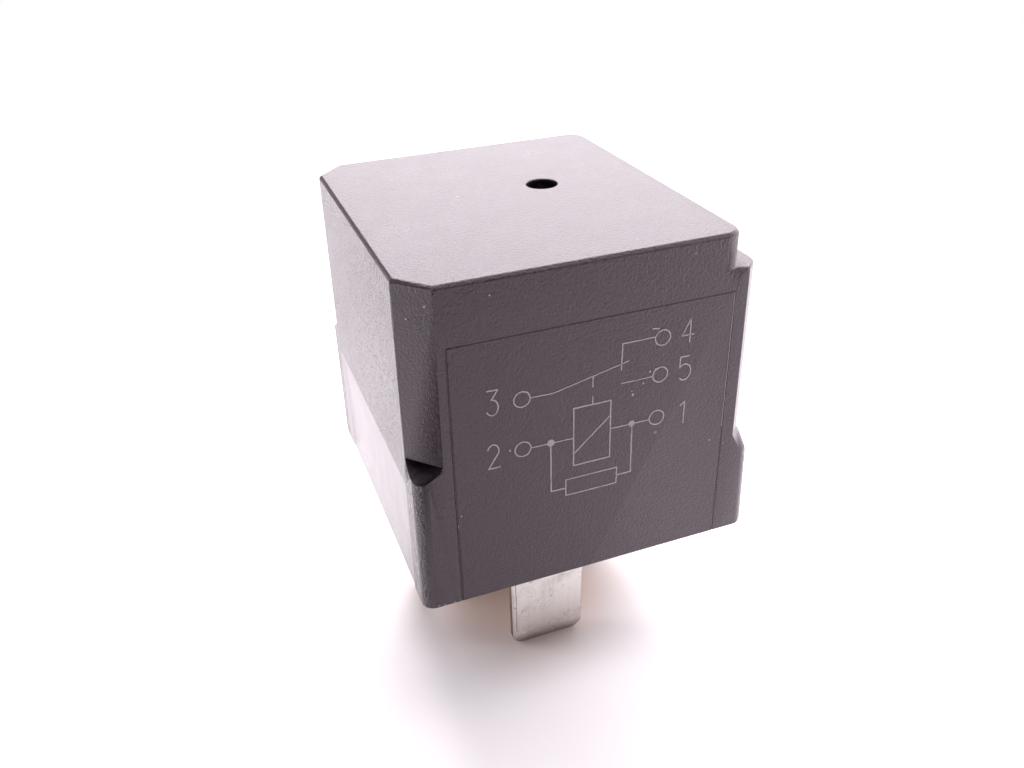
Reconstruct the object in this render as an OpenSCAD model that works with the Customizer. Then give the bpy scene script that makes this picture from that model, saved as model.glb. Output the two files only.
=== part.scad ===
// Plug-in changeover relay with five blades.
// Origin: middle of the seating plane, under the cover's 23 mm wide upper block.
// +X runs to the stepped side, +Y to the rear, +Z up, and the blades point down.

/* [Cover] */
// Width of the upper block, between its flat sides
cover_w = 23; // [22:0.1:26]
// Depth from the front face to the rear face
cover_d = 26; // [25.5:0.1:30]
// Height from the seating plane to the top face
cover_h = 24.05; // [24:0.05:28]
// Wall of the cover's sides
wall = 1; // [0.8:0.05:1.1]
// Wall of the cover's top
top_wall = 1.1; // [0.8:0.05:1.2]
// How far the left side leans out at the seating plane
side_draft = 0.25; // [0.1:0.05:0.4]
// Cut left corners, measured along the width
cut_x = 1.95; // [1.6:0.05:2.3]
// Cut left corners, measured along the depth
cut_y = 2.15; // [1.8:0.05:2.6]
// Radius of the upper block's right corners
upper_corner_r = 1.4; // [0.8:0.1:2]
// Radius of the full left corners below the grip pockets
low_corner_r = 0.9; // [0.5:0.05:1.1]
// Bevel round the top face
top_bevel = 0.23; // [0.1:0.01:0.5]

/* [Stepped side] */
// Height of the ledge on the right
ledge_z = 21.5; // [18:0.1:22]
// Step from the upper block out to the middle block
mid_step = 1.5; // [1.1:0.05:1.8]
// Cut across the corners of the middle block
mid_corner_cut = 1.05; // [0.5:0.05:1.2]
// Step from the upper block out to the foot block at the seating plane
foot_step = 2.5; // [2.3:0.05:3]
// How far the foot block leans in at its top
foot_draft = 0.15; // [0.05:0.05:0.3]
// Top of the foot block
foot_z = 6.2; // [5:0.1:7]
// Height at which the flare above the foot block ends
flare_z = 8.4; // [7.5:0.1:9.5]
// Cut across the corners of the foot block
foot_corner_cut = 0.8; // [0.5:0.05:1.2]

/* [Grip pockets] */
// Height of the pockets' flat roofs
pocket_roof = 11.5; // [10:0.05:12]
// Radius of the pockets' round lower side
pocket_r = 1.45; // [1.3:0.05:1.7]
// Depth of the round side below the roof
pocket_drop = 1.1; // [0.8:0.05:1.2]
// How far a pocket reaches in behind the corner cut
pocket_in = 1.3; // [0.8:0.05:1.4]
// Wall round a pocket, inside the cover
pocket_wall = 0.8; // [0.6:0.05:0.9]

/* [Panels and vent] */
// Top of the smooth panel low on the left side
panel_z = 9.05; // [7:0.05:9.5]
// Distance from the front and rear faces to the panel
panel_margin = 2.6; // [2.2:0.1:5]
// Depth of the panel below the side
panel_depth = 0.1; // [0.05:0.01:0.2]
// Distance from the left side to the front insert line
insert_left = 2.49; // [2.3:0.01:4]
// Distance from the right side of the upper block to the front insert line
insert_right = 0.47; // [0.3:0.01:2]
// Height of the front insert line's upper run
insert_z = 20; // [17:0.1:21]
// Width of an insert line
line_w = 0.1; // [0.06:0.01:0.15]
// Depth of an insert line
line_depth = 0.07; // [0.04:0.01:0.12]
// Diameter of the vent hole in the top
vent_d = 2.3; // [1.5:0.1:3]
// Vent hole, distance right of the middle
vent_x = 3.25; // [-4:0.05:4]
// Vent hole, distance behind the middle
vent_y = 1.45; // [-4:0.05:4]

/* [Base] */
// Thickness of the base plate
base_t = 4.2; // [3.8:0.1:5]
// Gap between the base plate and the cover, all round
base_fit = 0.05; // [0.02:0.01:0.1]
// Gap between a blade and its slot, each side
slot_fit = 0.02; // [0.01:0.01:0.05]
// Depth of the shallow well round each blade
well_depth = 0.4; // [0.2:0.05:0.6]
// Width of the rim of a well, round its blade
well_rim = 0.8; // [0.5:0.05:0.9]
// Height of the snap noses that stand out of the base's edge
snap_out = 0.25; // [0.15:0.05:0.3]
// Length of a snap nose
snap_len = 3.6; // [2:0.1:5]

/* [Blades] */
// Width of a contact blade
blade_w = 6.3; // [5.8:0.1:6.5]
// Width of a coil blade
coil_blade_w = 2.8; // [2.6:0.1:3.2]
// Thickness of all blades
blade_t = 0.8; // [0.6:0.05:0.9]
// Length of the blades below the seating plane
blade_len = 12.7; // [9:0.1:14]
// Radius of a blade's lower corners
blade_tip_r = 1.1; // [0.6:0.05:1.3]
// Bevel along a blade's long edges
blade_edge = 0.18; // [0.05:0.01:0.22]
// Height of the lead-in bevel at a blade's tip
tip_bevel_h = 1.1; // [0.5:0.05:1.5]
// Depth of the lead-in bevel, each side
tip_bevel = 0.22; // [0.1:0.01:0.25]
// Distance from the cover's front face to the front blade's middle plane
front_blade_in = 6.7; // [6.5:0.05:6.8]
// Distance from the cover's rear face to the rear blade's middle plane
rear_blade_in = 3.3; // [3.2:0.05:3.4]
// Distance from the upper block's sides to the coil blades' middle planes
coil_blade_in = 3.1; // [2.9:0.05:3.3]
// Coil blades, distance behind the middle
coil_blade_y = 3; // [2.4:0.1:3.4]

/* [Magnet] */
// Thickness of the yoke
yoke_t = 1.5; // [1.3:0.05:1.6]
// Width of the yoke
yoke_w = 10; // [9.6:0.1:10.4]
// Core's diameter as a share of the winding's diameter
core_share = 0.47; // [0.42:0.01:0.48]
// Diameter of the core's riveted stub
stub_d = 3.4; // [2.8:0.1:3.8]
// Diameter of the pole head
pole_d = 7.6; // [6.5:0.1:8]
// Thickness of the pole head
pole_t = 0.7; // [0.5:0.05:0.9]
// Gap between the upper contact tab and the inside of the cover's top
headroom = 1.44; // [1.2:0.02:1.8]
// Thickness of a bobbin flange
flange_t = 0.8; // [0.6:0.05:1]
// Width of the bobbin flanges
flange_w = 11.6; // [11.2:0.1:12]
// Gap between the bobbin flanges and the front terminal's strip
strip_gap = 1.65; // [1.45:0.05:1.8]
// Wall of the bobbin's barrel
barrel_wall = 0.8; // [0.6:0.05:1]
// Gap between the core and the bobbin, all round
core_fit = 0.1; // [0.05:0.01:0.15]
// How far the winding stays inside the flanges' edges
winding_in = 0.5; // [0.35:0.05:0.9]
// Thickness of the tape round the winding
tape_t = 0.1; // [0.05:0.01:0.15]
// Diameter of the winding's tails
tail_d = 0.25; // [0.15:0.01:0.4]
// Gap between the bobbin's flange and the yoke's leg
leg_gap = 0.45; // [0.3:0.05:0.6]

/* [Armature and spring] */
// Thickness of the armature
armature_t = 1.3; // [1.1:0.05:1.4]
// How far the armature reaches in front of the core's axis
armature_reach = 6.8; // [6:0.1:7]
// Angle of the armature's rest position, up from the pole
open_angle = 3.2; // [2.6:0.1:3.6]
// Thickness of the contact spring
spring_t = 0.25; // [0.15:0.01:0.3]
// Width of the contact spring over the armature
spring_w = 6; // [5:0.1:6.6]
// Width of the contact spring at the moving contact
spring_tip_w = 4; // [3.6:0.1:4.6]
// Inner radius of the spring's loop round the hinge
loop_r = 1.15; // [1.05:0.05:1.25]
// Distance between two rivets of a pair
rivet_pitch = 3.6; // [3:0.1:4]
// Diameter of a rivet's shank
rivet_d = 1.4; // [1.1:0.05:1.5]
// Diameter of a rivet's head
rivet_head_d = 2.3; // [1.9:0.05:2.4]
// Height of a rivet's head
rivet_head_h = 0.45; // [0.3:0.05:0.5]
// Gap between a rivet's shank and its hole, all round
rivet_fit = 0.02; // [0.01:0.01:0.05]

/* [Contacts] */
// Diameter of the contact faces
contact_d = 3.2; // [2.8:0.1:3.4]
// Height of a fixed contact above its tab
fixed_contact_h = 0.85; // [0.6:0.05:0.9]
// Height of the moving contact's lower face below the spring
moving_low_h = 0.9; // [0.7:0.05:1]
// Height of the moving contact's upper face above the spring
moving_top_h = 0.7; // [0.5:0.05:0.9]
// Radius of the domed contact faces
dome_r = 8; // [5:0.5:12]
// Diameter of the contacts' shanks
contact_shank_d = 1.5; // [1.2:0.1:1.8]
// Distance from the front blade's middle plane forward to the contacts' axis
contact_forward = 2.2; // [2.1:0.05:2.3]
// Gap left between closed contacts
contact_clear = 0.02; // [0.01:0.01:0.04]
// Width of the fixed contacts' tabs
tab_w = 4.6; // [4:0.1:5]

/* [Resistor] */
// Diameter of the resistor's body
resistor_d = 2.6; // [2:0.1:2.8]
// Length of the resistor's body
resistor_len = 6.6; // [6:0.1:7]
// Diameter of the resistor's leads
lead_d = 0.6; // [0.4:0.05:0.7]
// Inner radius of the leads' bends
lead_bend = 0.8; // [0.5:0.1:1.2]
// Height of the resistor's axis above the base plate
resistor_up = 2.4; // [2.1:0.1:2.8]

/* [Hidden] */
$fn = 64;
eps = 0.01;
over = 1;

// Outside of the cover
half_w = cover_w / 2;
half_d = cover_d / 2;
mid_x = half_w + mid_step;
foot_x = half_w + foot_step;

// Snap noses and marks of the base
snap_z = 1.6;
snap_h = 1;
snap_play = 0.05;
mark_d = 2.4;
mark_depth = 0.1;
mark_in_x = 4.1;
mark_in_y = 4.4;

// Middle planes of the blades
no_y = -half_d + front_blade_in;
common_y = half_d - rear_blade_in;
nc_y = (no_y + common_y) / 2;
coil_x = half_w - coil_blade_in;
contact_y = no_y - contact_forward;

// Yoke and core, from the rear blade forward
yoke_back = common_y - blade_t / 2;
yoke_front = yoke_back - yoke_t;
flange_d = yoke_front - leg_gap - no_y - blade_t / 2 - strip_gap;
core_y = yoke_front - leg_gap - flange_d / 2;
foot_reach = 3;
foot_front = core_y - stub_d / 2 - foot_reach;

// Contacts above the hinge line, worked out from the armature's rest position
tab_t = blade_t;
contact_arm = yoke_back - contact_y;
top_face_up = armature_t + spring_t + moving_top_h;
nc_face_up = contact_arm * sin(open_angle) + top_face_up * cos(open_angle) + contact_clear;
nc_contact_y = yoke_back - contact_arm * cos(open_angle) + top_face_up * sin(open_angle);

// Heights, from the cover's top down to the pole and from the base up
nc_tab_top = cover_h - top_wall - headroom;
nc_tab_bottom = nc_tab_top - tab_t;
pole_z = nc_tab_bottom - fixed_contact_h - nc_face_up;
bobbin_z = base_t + yoke_t;
bobbin_h = pole_z - pole_t - bobbin_z;
armature_top = pole_z + armature_t;
spring_top = armature_top + spring_t;
no_face_z = armature_top - moving_low_h;
no_tab_top = no_face_z - fixed_contact_h;

// Bobbin and winding
winding_d = flange_d - 2 * winding_in;
core_d = core_share * winding_d;
bore_d = core_d + 2 * core_fit;
barrel_d = bore_d + 2 * barrel_wall;
tape_margin = 0.5;

// Hinge, armature and spring
hinge_gap = 0.1;
armature_front = core_y - armature_reach;
lug_w = 1.4;
lug_d = 1;
lug_fit = 0.15;
armature_rivet_y = core_y - pole_d / 2 - rivet_head_d / 2;
yoke_rivet_down = 4;
yoke_rivet_z = pole_z - yoke_rivet_down;
spring_margin = 0.4;
spring_foot_z = yoke_rivet_z - rivet_head_d / 2 - spring_margin;
neck_out = 0.6;
loop_in = 0.7;
loop_y = yoke_back - loop_in;
loop_drop = 1.6;

// Terminals above the base
shoulder_h = 0.6;
shoulder_out = 0.4;
post_w = 1;
post_h = 4.8;
post_top = base_t + post_h;
common_tab_gap = 1.65;
common_tab_top = spring_foot_z - common_tab_gap;
nc_strip_z = 2.4;
nc_strip_depth = 3;
column_side_gap = 1.05;
column_coil_gap = 0.8;
column_front_gap = 0.6;
nc_column_x = blade_w / 2 + column_side_gap;
nc_column_w = coil_x - blade_t / 2 - column_coil_gap - nc_column_x;
nc_column_y = -half_d + wall + column_front_gap + tab_t / 2;

// Resistor and the ends of the winding
resistor_gap = 0.7;
resistor_z = base_t + resistor_up;
resistor_y = no_y - blade_t / 2 - resistor_gap - resistor_d / 2;
tail_up = 1;
tail_z = resistor_z + tail_up;

// Saddles and ribs on the base
saddle_t = 1;
saddle_out = 0.3;
saddle_low = 0.3;
rib_low = 0.15;
rib_h = yoke_t - rib_low;
rib_gap = 1.15;
rib_start = 0.4;
front_rib_w = 4;
front_rib_t = 1.3;

plastic_dark = [0.27, 0.23, 0.26];
plastic_base = [0.16, 0.15, 0.16];
tin = [0.78, 0.76, 0.73];
iron = [0.55, 0.55, 0.57];
copper = [0.72, 0.42, 0.2];
silver = [0.86, 0.86, 0.84];

// Left side of the cover at a height
function left_x(z) = -half_w - side_draft * (1 - z / cover_h);

// ---- Cover ----

// Tilts what follows about a line along Y, so that a wall leans out below that line
module lean(angle, x, z) {
    translate([x, 0, z]) rotate([0, angle, 0]) translate([-x, 0, -z]) children();
}

// Keeps what lies between two heights
module between(low, high) {
    intersection() {
        children();
        translate([-cover_w, -cover_d, low]) cube([2 * cover_w, 2 * cover_d, high - low]);
    }
}

// Left part of the upper block's outline, with its cut corners
module cut_outline() {
    polygon([
        [-half_w, -half_d + cut_y],
        [-half_w + cut_x, -half_d],
        [0, -half_d],
        [0, half_d],
        [-half_w + cut_x, half_d],
        [-half_w, half_d - cut_y]
    ]);
}

// Outline from the middle to the right, its outer corners round
module right_outline(right, r) {
    for (side = [-1, 1]) translate([right - r, side * (half_d - r)]) circle(r);
    translate([-over, -half_d]) square([right - r + over, cover_d]);
    translate([-over, -half_d + r]) square([right + over, cover_d - 2 * r]);
}

// Points of the stepped side's outline at a height, its outer corners cut off at 45 degrees
function step_ring(right, cut, z) = [
    [0, -half_d, z],
    [right - cut, -half_d, z],
    [right, -half_d + cut, z],
    [right, half_d - cut, z],
    [right - cut, half_d, z],
    [0, half_d, z]
];

// Part of the stepped side between two heights, each with its own reach and corner cut
module step_block(low, high, low_x, high_x, low_cut, high_cut) {
    low_ring = step_ring(low_x, low_cut, low);
    n = len(low_ring);
    polyhedron(
        points = concat(low_ring, step_ring(high_x, high_cut, high)),
        faces = [
            [for (i = [0:n - 1]) i],
            [for (i = [n - 1:-1:0]) n + i],
            for (i = [0:n - 1]) [i, n + i, n + (i + 1) % n, (i + 1) % n]
        ]
    );
}

module cover_outside() {
    side_lean = atan(side_draft / cover_h);
    foot_top_x = foot_x - foot_draft;
    between(pocket_roof, cover_h) lean(side_lean, -half_w, cover_h) linear_extrude(cover_h + over) cut_outline();
    between(0, pocket_roof) lean(side_lean, -half_w, cover_h)
        translate([0, 0, -over]) linear_extrude(cover_h) mirror([1, 0]) right_outline(half_w, low_corner_r);
    linear_extrude(cover_h) right_outline(half_w, upper_corner_r);
    step_block(flare_z, ledge_z, mid_x, mid_x, mid_corner_cut, mid_corner_cut);
    step_block(foot_z, flare_z, foot_top_x, mid_x, foot_corner_cut, mid_corner_cut);
    step_block(0, foot_z, foot_x, foot_top_x, foot_corner_cut, foot_corner_cut);
}

// Wedge that bevels an edge of the top face: the edge runs along X, its outer side towards +Y
module edge_wedge(len) {
    rotate([90, 0, 90]) translate([0, cover_h, -len / 2]) linear_extrude(len)
        polygon([[-top_bevel - over, over], [over, -top_bevel - over], [over, over]]);
}

module top_bevels() {
    for (side = [-1, 1]) {
        rotate([0, 0, (side < 0) ? 180 : 0]) translate([0, half_d, 0]) edge_wedge(2 * cover_w);
        at_corner_cut(side, -half_w) rotate([0, 0, -90]) edge_wedge(2 * (cut_x + cut_y));
        translate([half_w - upper_corner_r, side * (half_d - upper_corner_r), cover_h - top_bevel]) difference() {
            translate([0, (side < 0) ? -upper_corner_r - over : 0, 0])
                cube([upper_corner_r + over, upper_corner_r + over, top_bevel + over]);
            translate([0, 0, -eps]) cylinder(h = top_bevel + eps, r1 = upper_corner_r + eps, r2 = upper_corner_r - top_bevel);
        }
    }
    translate([-half_w, 0, 0]) rotate([0, 0, 90]) edge_wedge(2 * cover_d);
    translate([half_w, 0, 0]) rotate([0, 0, -90]) edge_wedge(2 * cover_d);
}

// Hollow of the cover, drawn as a front view and a plan that are both kept
module cover_cavity() {
    inner_left = -half_w + wall;
    intersection() {
        translate([0, half_d - wall, 0]) rotate([90, 0, 0]) linear_extrude(cover_d - 2 * wall)
            polygon([
                [inner_left, -over],
                [foot_x - wall, -over],
                [foot_x - wall, foot_z - wall],
                [mid_x - wall, flare_z - wall],
                [mid_x - wall, ledge_z - top_wall],
                [half_w - wall, ledge_z - top_wall],
                [half_w - wall, cover_h - top_wall],
                [inner_left, cover_h - top_wall]
            ]);
        translate([0, 0, -over]) linear_extrude(cover_h + over) cavity_plan();
    }
}

// The hollow's plan: the cut corners run on down inside
module cavity_plan(gap = 0) {
    left = -half_w + wall + gap;
    right = foot_x - wall - gap;
    depth = half_d - wall - gap;
    polygon([
        [left, -depth + cut_y],
        [left + cut_x, -depth],
        [right, -depth],
        [right, depth],
        [left + cut_x, depth],
        [left, depth - cut_y]
    ]);
}

// Puts what follows at the middle of a corner cut, its X axis pointing out through the cut
module at_corner_cut(side, x = left_x(pocket_roof)) {
    translate([x + cut_x / 2, side * (half_d - cut_y / 2), 0])
        rotate([0, 0, (side > 0) ? 90 + atan2(cut_y, cut_x) : -90 - atan2(cut_y, cut_x)]) children();
}

module grip_pocket() {
    centre_z = pocket_roof - pocket_drop + pocket_r;
    reach = cut_x + cut_y;
    intersection() {
        translate([-pocket_in, 0, centre_z]) rotate([0, 90, 0]) cylinder(h = pocket_in + reach, r = pocket_r);
        union() {
            translate([-pocket_in - over, -pocket_r - over, 0])
                cube([pocket_in + over, 2 * (pocket_r + over), pocket_roof]);
            translate([0, -pocket_r - over, 0]) cube([reach + over, 2 * (pocket_r + over), pocket_roof + over]);
        }
    }
}

module pocket_housing() {
    depth = pocket_in + pocket_wall;
    width = 2 * (pocket_r + pocket_wall);
    translate([-depth, -width / 2, pocket_roof - pocket_drop - pocket_wall])
        cube([depth, width, pocket_drop + 2 * pocket_wall]);
}

module side_panel() {
    face_low = left_x(0) + panel_depth;
    face_top = left_x(panel_z) + panel_depth;
    translate([0, half_d - panel_margin, 0]) rotate([90, 0, 0]) linear_extrude(cover_d - 2 * panel_margin)
        polygon([
            [left_x(0) - over, -eps],
            [face_low, -eps],
            [face_top, panel_z],
            [left_x(0) - over, panel_z]
        ]);
}

module front_insert_line() {
    left = -half_w + insert_left;
    right = half_w - insert_right;
    translate([0, -half_d - over, -eps]) {
        translate([left, 0, 0]) cube([line_w, over + line_depth, insert_z]);
        translate([right - line_w, 0, 0]) cube([line_w, over + line_depth, insert_z]);
        translate([left, 0, insert_z - line_w]) cube([right - left, over + line_depth, line_w]);
    }
}

// Grooves in the cover's side walls that the base's noses snap into
module snap_places(out, len, z, h) {
    for (side = [-1, 1]) {
        translate([-half_w + wall - out, side * half_d / 2 - len / 2, z]) cube([out + over, len, h]);
        translate([foot_x - wall - over, side * half_d / 2 - len / 2, z]) cube([out + over, len, h]);
    }
}

module cover() color(plastic_dark) difference() {
    cover_outside();
    top_bevels();
    difference() {
        cover_cavity();
        for (side = [-1, 1]) at_corner_cut(side) pocket_housing();
    }
    for (side = [-1, 1]) at_corner_cut(side) grip_pocket();
    snap_places(snap_out + snap_play, snap_len + 2 * snap_play, snap_z - snap_play, snap_h + 2 * snap_play);
    side_panel();
    front_insert_line();
    translate([vent_x, vent_y, cover_h - top_wall - over]) cylinder(h = top_wall + 2 * over, d = vent_d);
}

// ---- Base ----

// Slot of a contact blade at its depth, or of a coil blade at its width
module blade_slots(grow, z, h) {
    for (y = [no_y, nc_y, common_y]) {
        translate([-blade_w / 2 - grow, y - blade_t / 2 - grow, z]) cube([blade_w + 2 * grow, blade_t + 2 * grow, h]);
    }
    for (side = [-1, 1]) {
        translate([side * coil_x - blade_t / 2 - grow, coil_blade_y - coil_blade_w / 2 - grow, z])
            cube([blade_t + 2 * grow, coil_blade_w + 2 * grow, h]);
    }
}

module resistor_saddles() {
    for (side = [-1, 1]) {
        translate([side * resistor_len / 4 - saddle_t / 2, resistor_y - resistor_d / 2 - saddle_out, base_t - eps])
            cube([saddle_t, resistor_d + 2 * saddle_out, resistor_up - saddle_low]);
    }
}

// Ribs beside and in front of the yoke's foot
module yoke_ribs() {
    rib_y = foot_front + rib_start;
    inner = yoke_w / 2 + base_fit;
    outer = coil_x - blade_t / 2 - rib_gap;
    for (side = [0, 1]) mirror([side, 0, 0]) {
        translate([inner, rib_y, base_t - eps]) cube([outer - inner, yoke_front - rib_y, rib_h]);
    }
    translate([-front_rib_w / 2, foot_front - base_fit - front_rib_t, base_t - eps])
        cube([front_rib_w, front_rib_t, rib_h]);
}

module nc_channel() {
    grow = base_fit;
    translate([0, 0, nc_strip_z - slot_fit]) linear_extrude(base_t) nc_strip_plan(grow);
}

module base() color(plastic_base) difference() {
    union() {
        linear_extrude(base_t) cavity_plan(base_fit);
        snap_places(snap_out, snap_len, snap_z, snap_h);
        resistor_saddles();
        yoke_ribs();
    }
    blade_slots(slot_fit, -over, base_t + 2 * over);
    blade_slots(well_rim, -over, over + well_depth);
    nc_channel();
    translate([-resistor_len / 2, resistor_y, resistor_z]) rotate([0, 90, 0])
        cylinder(h = resistor_len, d = resistor_d + 2 * slot_fit);
    ejector_marks();
}

// Four shallow round marks in the underside
module ejector_marks() {
    for (x = [-1, 1], y = [-1, 1]) {
        translate([x * (half_w - mark_in_x), y * (half_d - mark_in_y), -over]) cylinder(h = over + mark_depth, d = mark_d);
    }
}

// ---- Blades and terminals ----

// Blade in the XZ plane, centred on its thickness, from its tip up to a height
module blade(w, top) {
    difference() {
        intersection() {
            translate([0, blade_t / 2, 0]) rotate([90, 0, 0]) linear_extrude(blade_t) blade_face(w, top);
            translate([0, 0, -blade_len - over]) linear_extrude(blade_len + top + 2 * over) blade_section(w);
        }
        for (side = [0, 1]) mirror([0, side, 0]) tip_wedge(w);
    }
}

module blade_face(w, top) {
    for (side = [-1, 1]) translate([side * (w / 2 - blade_tip_r), -blade_len + blade_tip_r]) circle(blade_tip_r);
    translate([-w / 2, -blade_len + blade_tip_r]) square([w, blade_len - blade_tip_r + top]);
    translate([-w / 2 + blade_tip_r, -blade_len]) square([w - 2 * blade_tip_r, blade_tip_r + eps]);
}

module blade_section(w) {
    half = w / 2;
    thick = blade_t / 2;
    polygon([
        [-half, -thick + blade_edge],
        [-half + blade_edge, -thick],
        [half - blade_edge, -thick],
        [half, -thick + blade_edge],
        [half, thick - blade_edge],
        [half - blade_edge, thick],
        [-half + blade_edge, thick],
        [-half, thick - blade_edge]
    ]);
}

module tip_wedge(w) {
    rotate([90, 0, 90]) translate([0, 0, -w / 2 - over]) linear_extrude(w + 2 * over)
        polygon([
            [blade_t / 2 - tip_bevel, -blade_len - eps],
            [blade_t / 2 + over, -blade_len - eps],
            [blade_t / 2 + over, -blade_len + tip_bevel_h],
            [blade_t / 2, -blade_len + tip_bevel_h]
        ]);
}

module coil_terminal(side) color(tin) translate([side * coil_x, coil_blade_y, 0]) rotate([0, 0, 90]) {
    blade(coil_blade_w, base_t);
    shoulder_w = coil_blade_w + 2 * shoulder_out;
    translate([-shoulder_w / 2, -blade_t / 2, base_t]) cube([shoulder_w, blade_t, shoulder_h]);
    translate([-post_w / 2, -blade_t / 2, base_t + shoulder_h - eps])
        cube([post_w, blade_t, post_top - base_t - shoulder_h + eps]);
}

module terminal_1_coil() coil_terminal(1);
module terminal_2_coil() coil_terminal(-1);

module terminal_3_common() color(tin) translate([0, common_y, 0]) {
    tab_wide = blade_w + 4 * shoulder_out;
    blade(blade_w, base_t);
    translate([-tab_wide / 2, -blade_t / 2, base_t]) cube([tab_wide, blade_t, common_tab_top - base_t]);
}

// Plan of the strip that leads from the middle blade past the front blade, to the front wall
module nc_strip_plan(grow = 0) {
    strip_front = nc_y + blade_t / 2 - nc_strip_depth;
    polygon([
        [-blade_w / 2 - grow, nc_y + blade_t / 2 + grow],
        [-blade_w / 2 - grow, strip_front - grow],
        [nc_column_x - grow, strip_front - grow],
        [nc_column_x - grow, nc_column_y - blade_t / 2 - grow],
        [nc_column_x + nc_column_w + grow, nc_column_y - blade_t / 2 - grow],
        [nc_column_x + nc_column_w + grow, nc_y + blade_t / 2 + grow]
    ]);
}

module terminal_4_nc() color(tin) {
    bar_h = 3;
    tab_back = nc_contact_y + contact_d / 2;
    difference() {
        union() {
            translate([0, nc_y, 0]) blade(blade_w, nc_strip_z + eps);
            translate([0, 0, nc_strip_z]) linear_extrude(blade_t) nc_strip_plan();
            translate([nc_column_x, nc_column_y - blade_t / 2, nc_strip_z])
                cube([nc_column_w, blade_t, nc_tab_top - nc_strip_z]);
            translate([-tab_w / 2, nc_column_y - blade_t / 2, nc_tab_top - bar_h])
                cube([tab_w / 2 + nc_column_x + nc_column_w, blade_t, bar_h]);
            translate([-tab_w / 2, nc_column_y - blade_t / 2, nc_tab_bottom])
                cube([tab_w, tab_back - nc_column_y + blade_t / 2, tab_t]);
        }
        translate([0, nc_contact_y, nc_tab_bottom - over])
            cylinder(h = tab_t + 2 * over, d = contact_shank_d + 2 * rivet_fit);
    }
}

module terminal_5_no() color(tin) {
    strip_w = 4.4;
    neck_z = base_t + shoulder_h;
    shoulder_w = blade_w + 2 * shoulder_out;
    tab_front = contact_y - contact_d / 2;
    difference() {
        union() {
            translate([0, no_y, 0]) {
                blade(blade_w, base_t);
                translate([-shoulder_w / 2, -blade_t / 2, base_t]) cube([shoulder_w, blade_t, shoulder_h]);
                translate([-strip_w / 2, -blade_t / 2, neck_z - eps])
                    cube([strip_w, blade_t, no_tab_top - neck_z + eps]);
            }
            translate([-tab_w / 2, tab_front, no_tab_top - tab_t]) cube([tab_w, no_y - tab_front, tab_t]);
        }
        translate([0, contact_y, no_tab_top - tab_t - over])
            cylinder(h = tab_t + 2 * over, d = contact_shank_d + 2 * rivet_fit);
    }
}

// ---- Contacts ----

// Domed contact head that stands up from z = 0
module contact_head(h) {
    intersection() {
        cylinder(h = h, d = contact_d);
        translate([0, 0, h - dome_r]) sphere(dome_r);
    }
}

// Fixed contact: head above the tab's face, shank through the tab, small tail below it
module fixed_contact() color(silver) {
    tail_h = 0.35;
    tail_head_d = 2.2;
    contact_head(fixed_contact_h);
    translate([0, 0, -tab_t - eps]) cylinder(h = tab_t + 2 * eps, d = contact_shank_d);
    translate([0, 0, -tab_t - tail_h]) cylinder(h = tail_h, d = tail_head_d);
}

module no_contact() translate([0, contact_y, no_tab_top]) fixed_contact();

module nc_contact() translate([0, nc_contact_y, nc_tab_bottom]) mirror([0, 0, 1]) fixed_contact();

// Turns the moving parts from closed on the pole to their rest position
module at_rest() {
    translate([0, yoke_back, pole_z]) rotate([-open_angle, 0, 0]) translate([0, -yoke_back, -pole_z]) children();
}

module moving_contact() color(silver) at_rest() translate([0, contact_y, armature_top]) {
    translate([0, 0, spring_t]) contact_head(moving_top_h);
    mirror([0, 0, 1]) contact_head(moving_low_h);
    translate([0, 0, -eps]) cylinder(h = spring_t + 2 * eps, d = contact_shank_d);
}

// ---- Magnet ----

module bobbin() color([0.62, 0.2, 0.12]) translate([0, core_y, bobbin_z]) difference() {
    union() {
        cylinder(h = bobbin_h, d = barrel_d);
        for (z = [0, bobbin_h - flange_t]) translate([0, 0, z]) flange();
    }
    translate([0, 0, -over]) cylinder(h = bobbin_h + 2 * over, d = bore_d);
}

module flange() {
    r = 1;
    linear_extrude(flange_t) {
        for (x = [-1, 1], y = [-1, 1]) translate([x * (flange_w / 2 - r), y * (flange_d / 2 - r)]) circle(r);
        square([flange_w, flange_d - 2 * r], center = true);
        square([flange_w - 2 * r, flange_d], center = true);
    }
}

module coil_winding() color(copper) {
    winding_h = bobbin_h - 2 * flange_t;
    reach = coil_x - blade_t / 2;
    difference() {
        union() {
            translate([0, core_y, bobbin_z + flange_t]) cylinder(h = winding_h, d = winding_d);
            translate([-reach, coil_blade_y, tail_z]) rotate([0, 90, 0]) cylinder(h = 2 * reach, d = tail_d);
        }
        translate([0, core_y, bobbin_z]) cylinder(h = bobbin_h, d = barrel_d);
    }
}

module coil_tape() color([0.75, 0.6, 0.2]) {
    low = tail_z + tail_d;
    high = bobbin_z + bobbin_h - flange_t - tape_margin;
    translate([0, core_y, low]) difference() {
        cylinder(h = high - low, d = winding_d + 2 * tape_t);
        translate([0, 0, -over]) cylinder(h = high - low + 2 * over, d = winding_d);
    }
}

module core() color(iron) translate([0, core_y, 0]) {
    translate([0, 0, bobbin_z + bobbin_h]) cylinder(h = pole_t, d = pole_d);
    translate([0, 0, bobbin_z]) cylinder(h = bobbin_h + eps, d = core_d);
    translate([0, 0, base_t]) cylinder(h = yoke_t + eps, d = stub_d);
}

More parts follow.
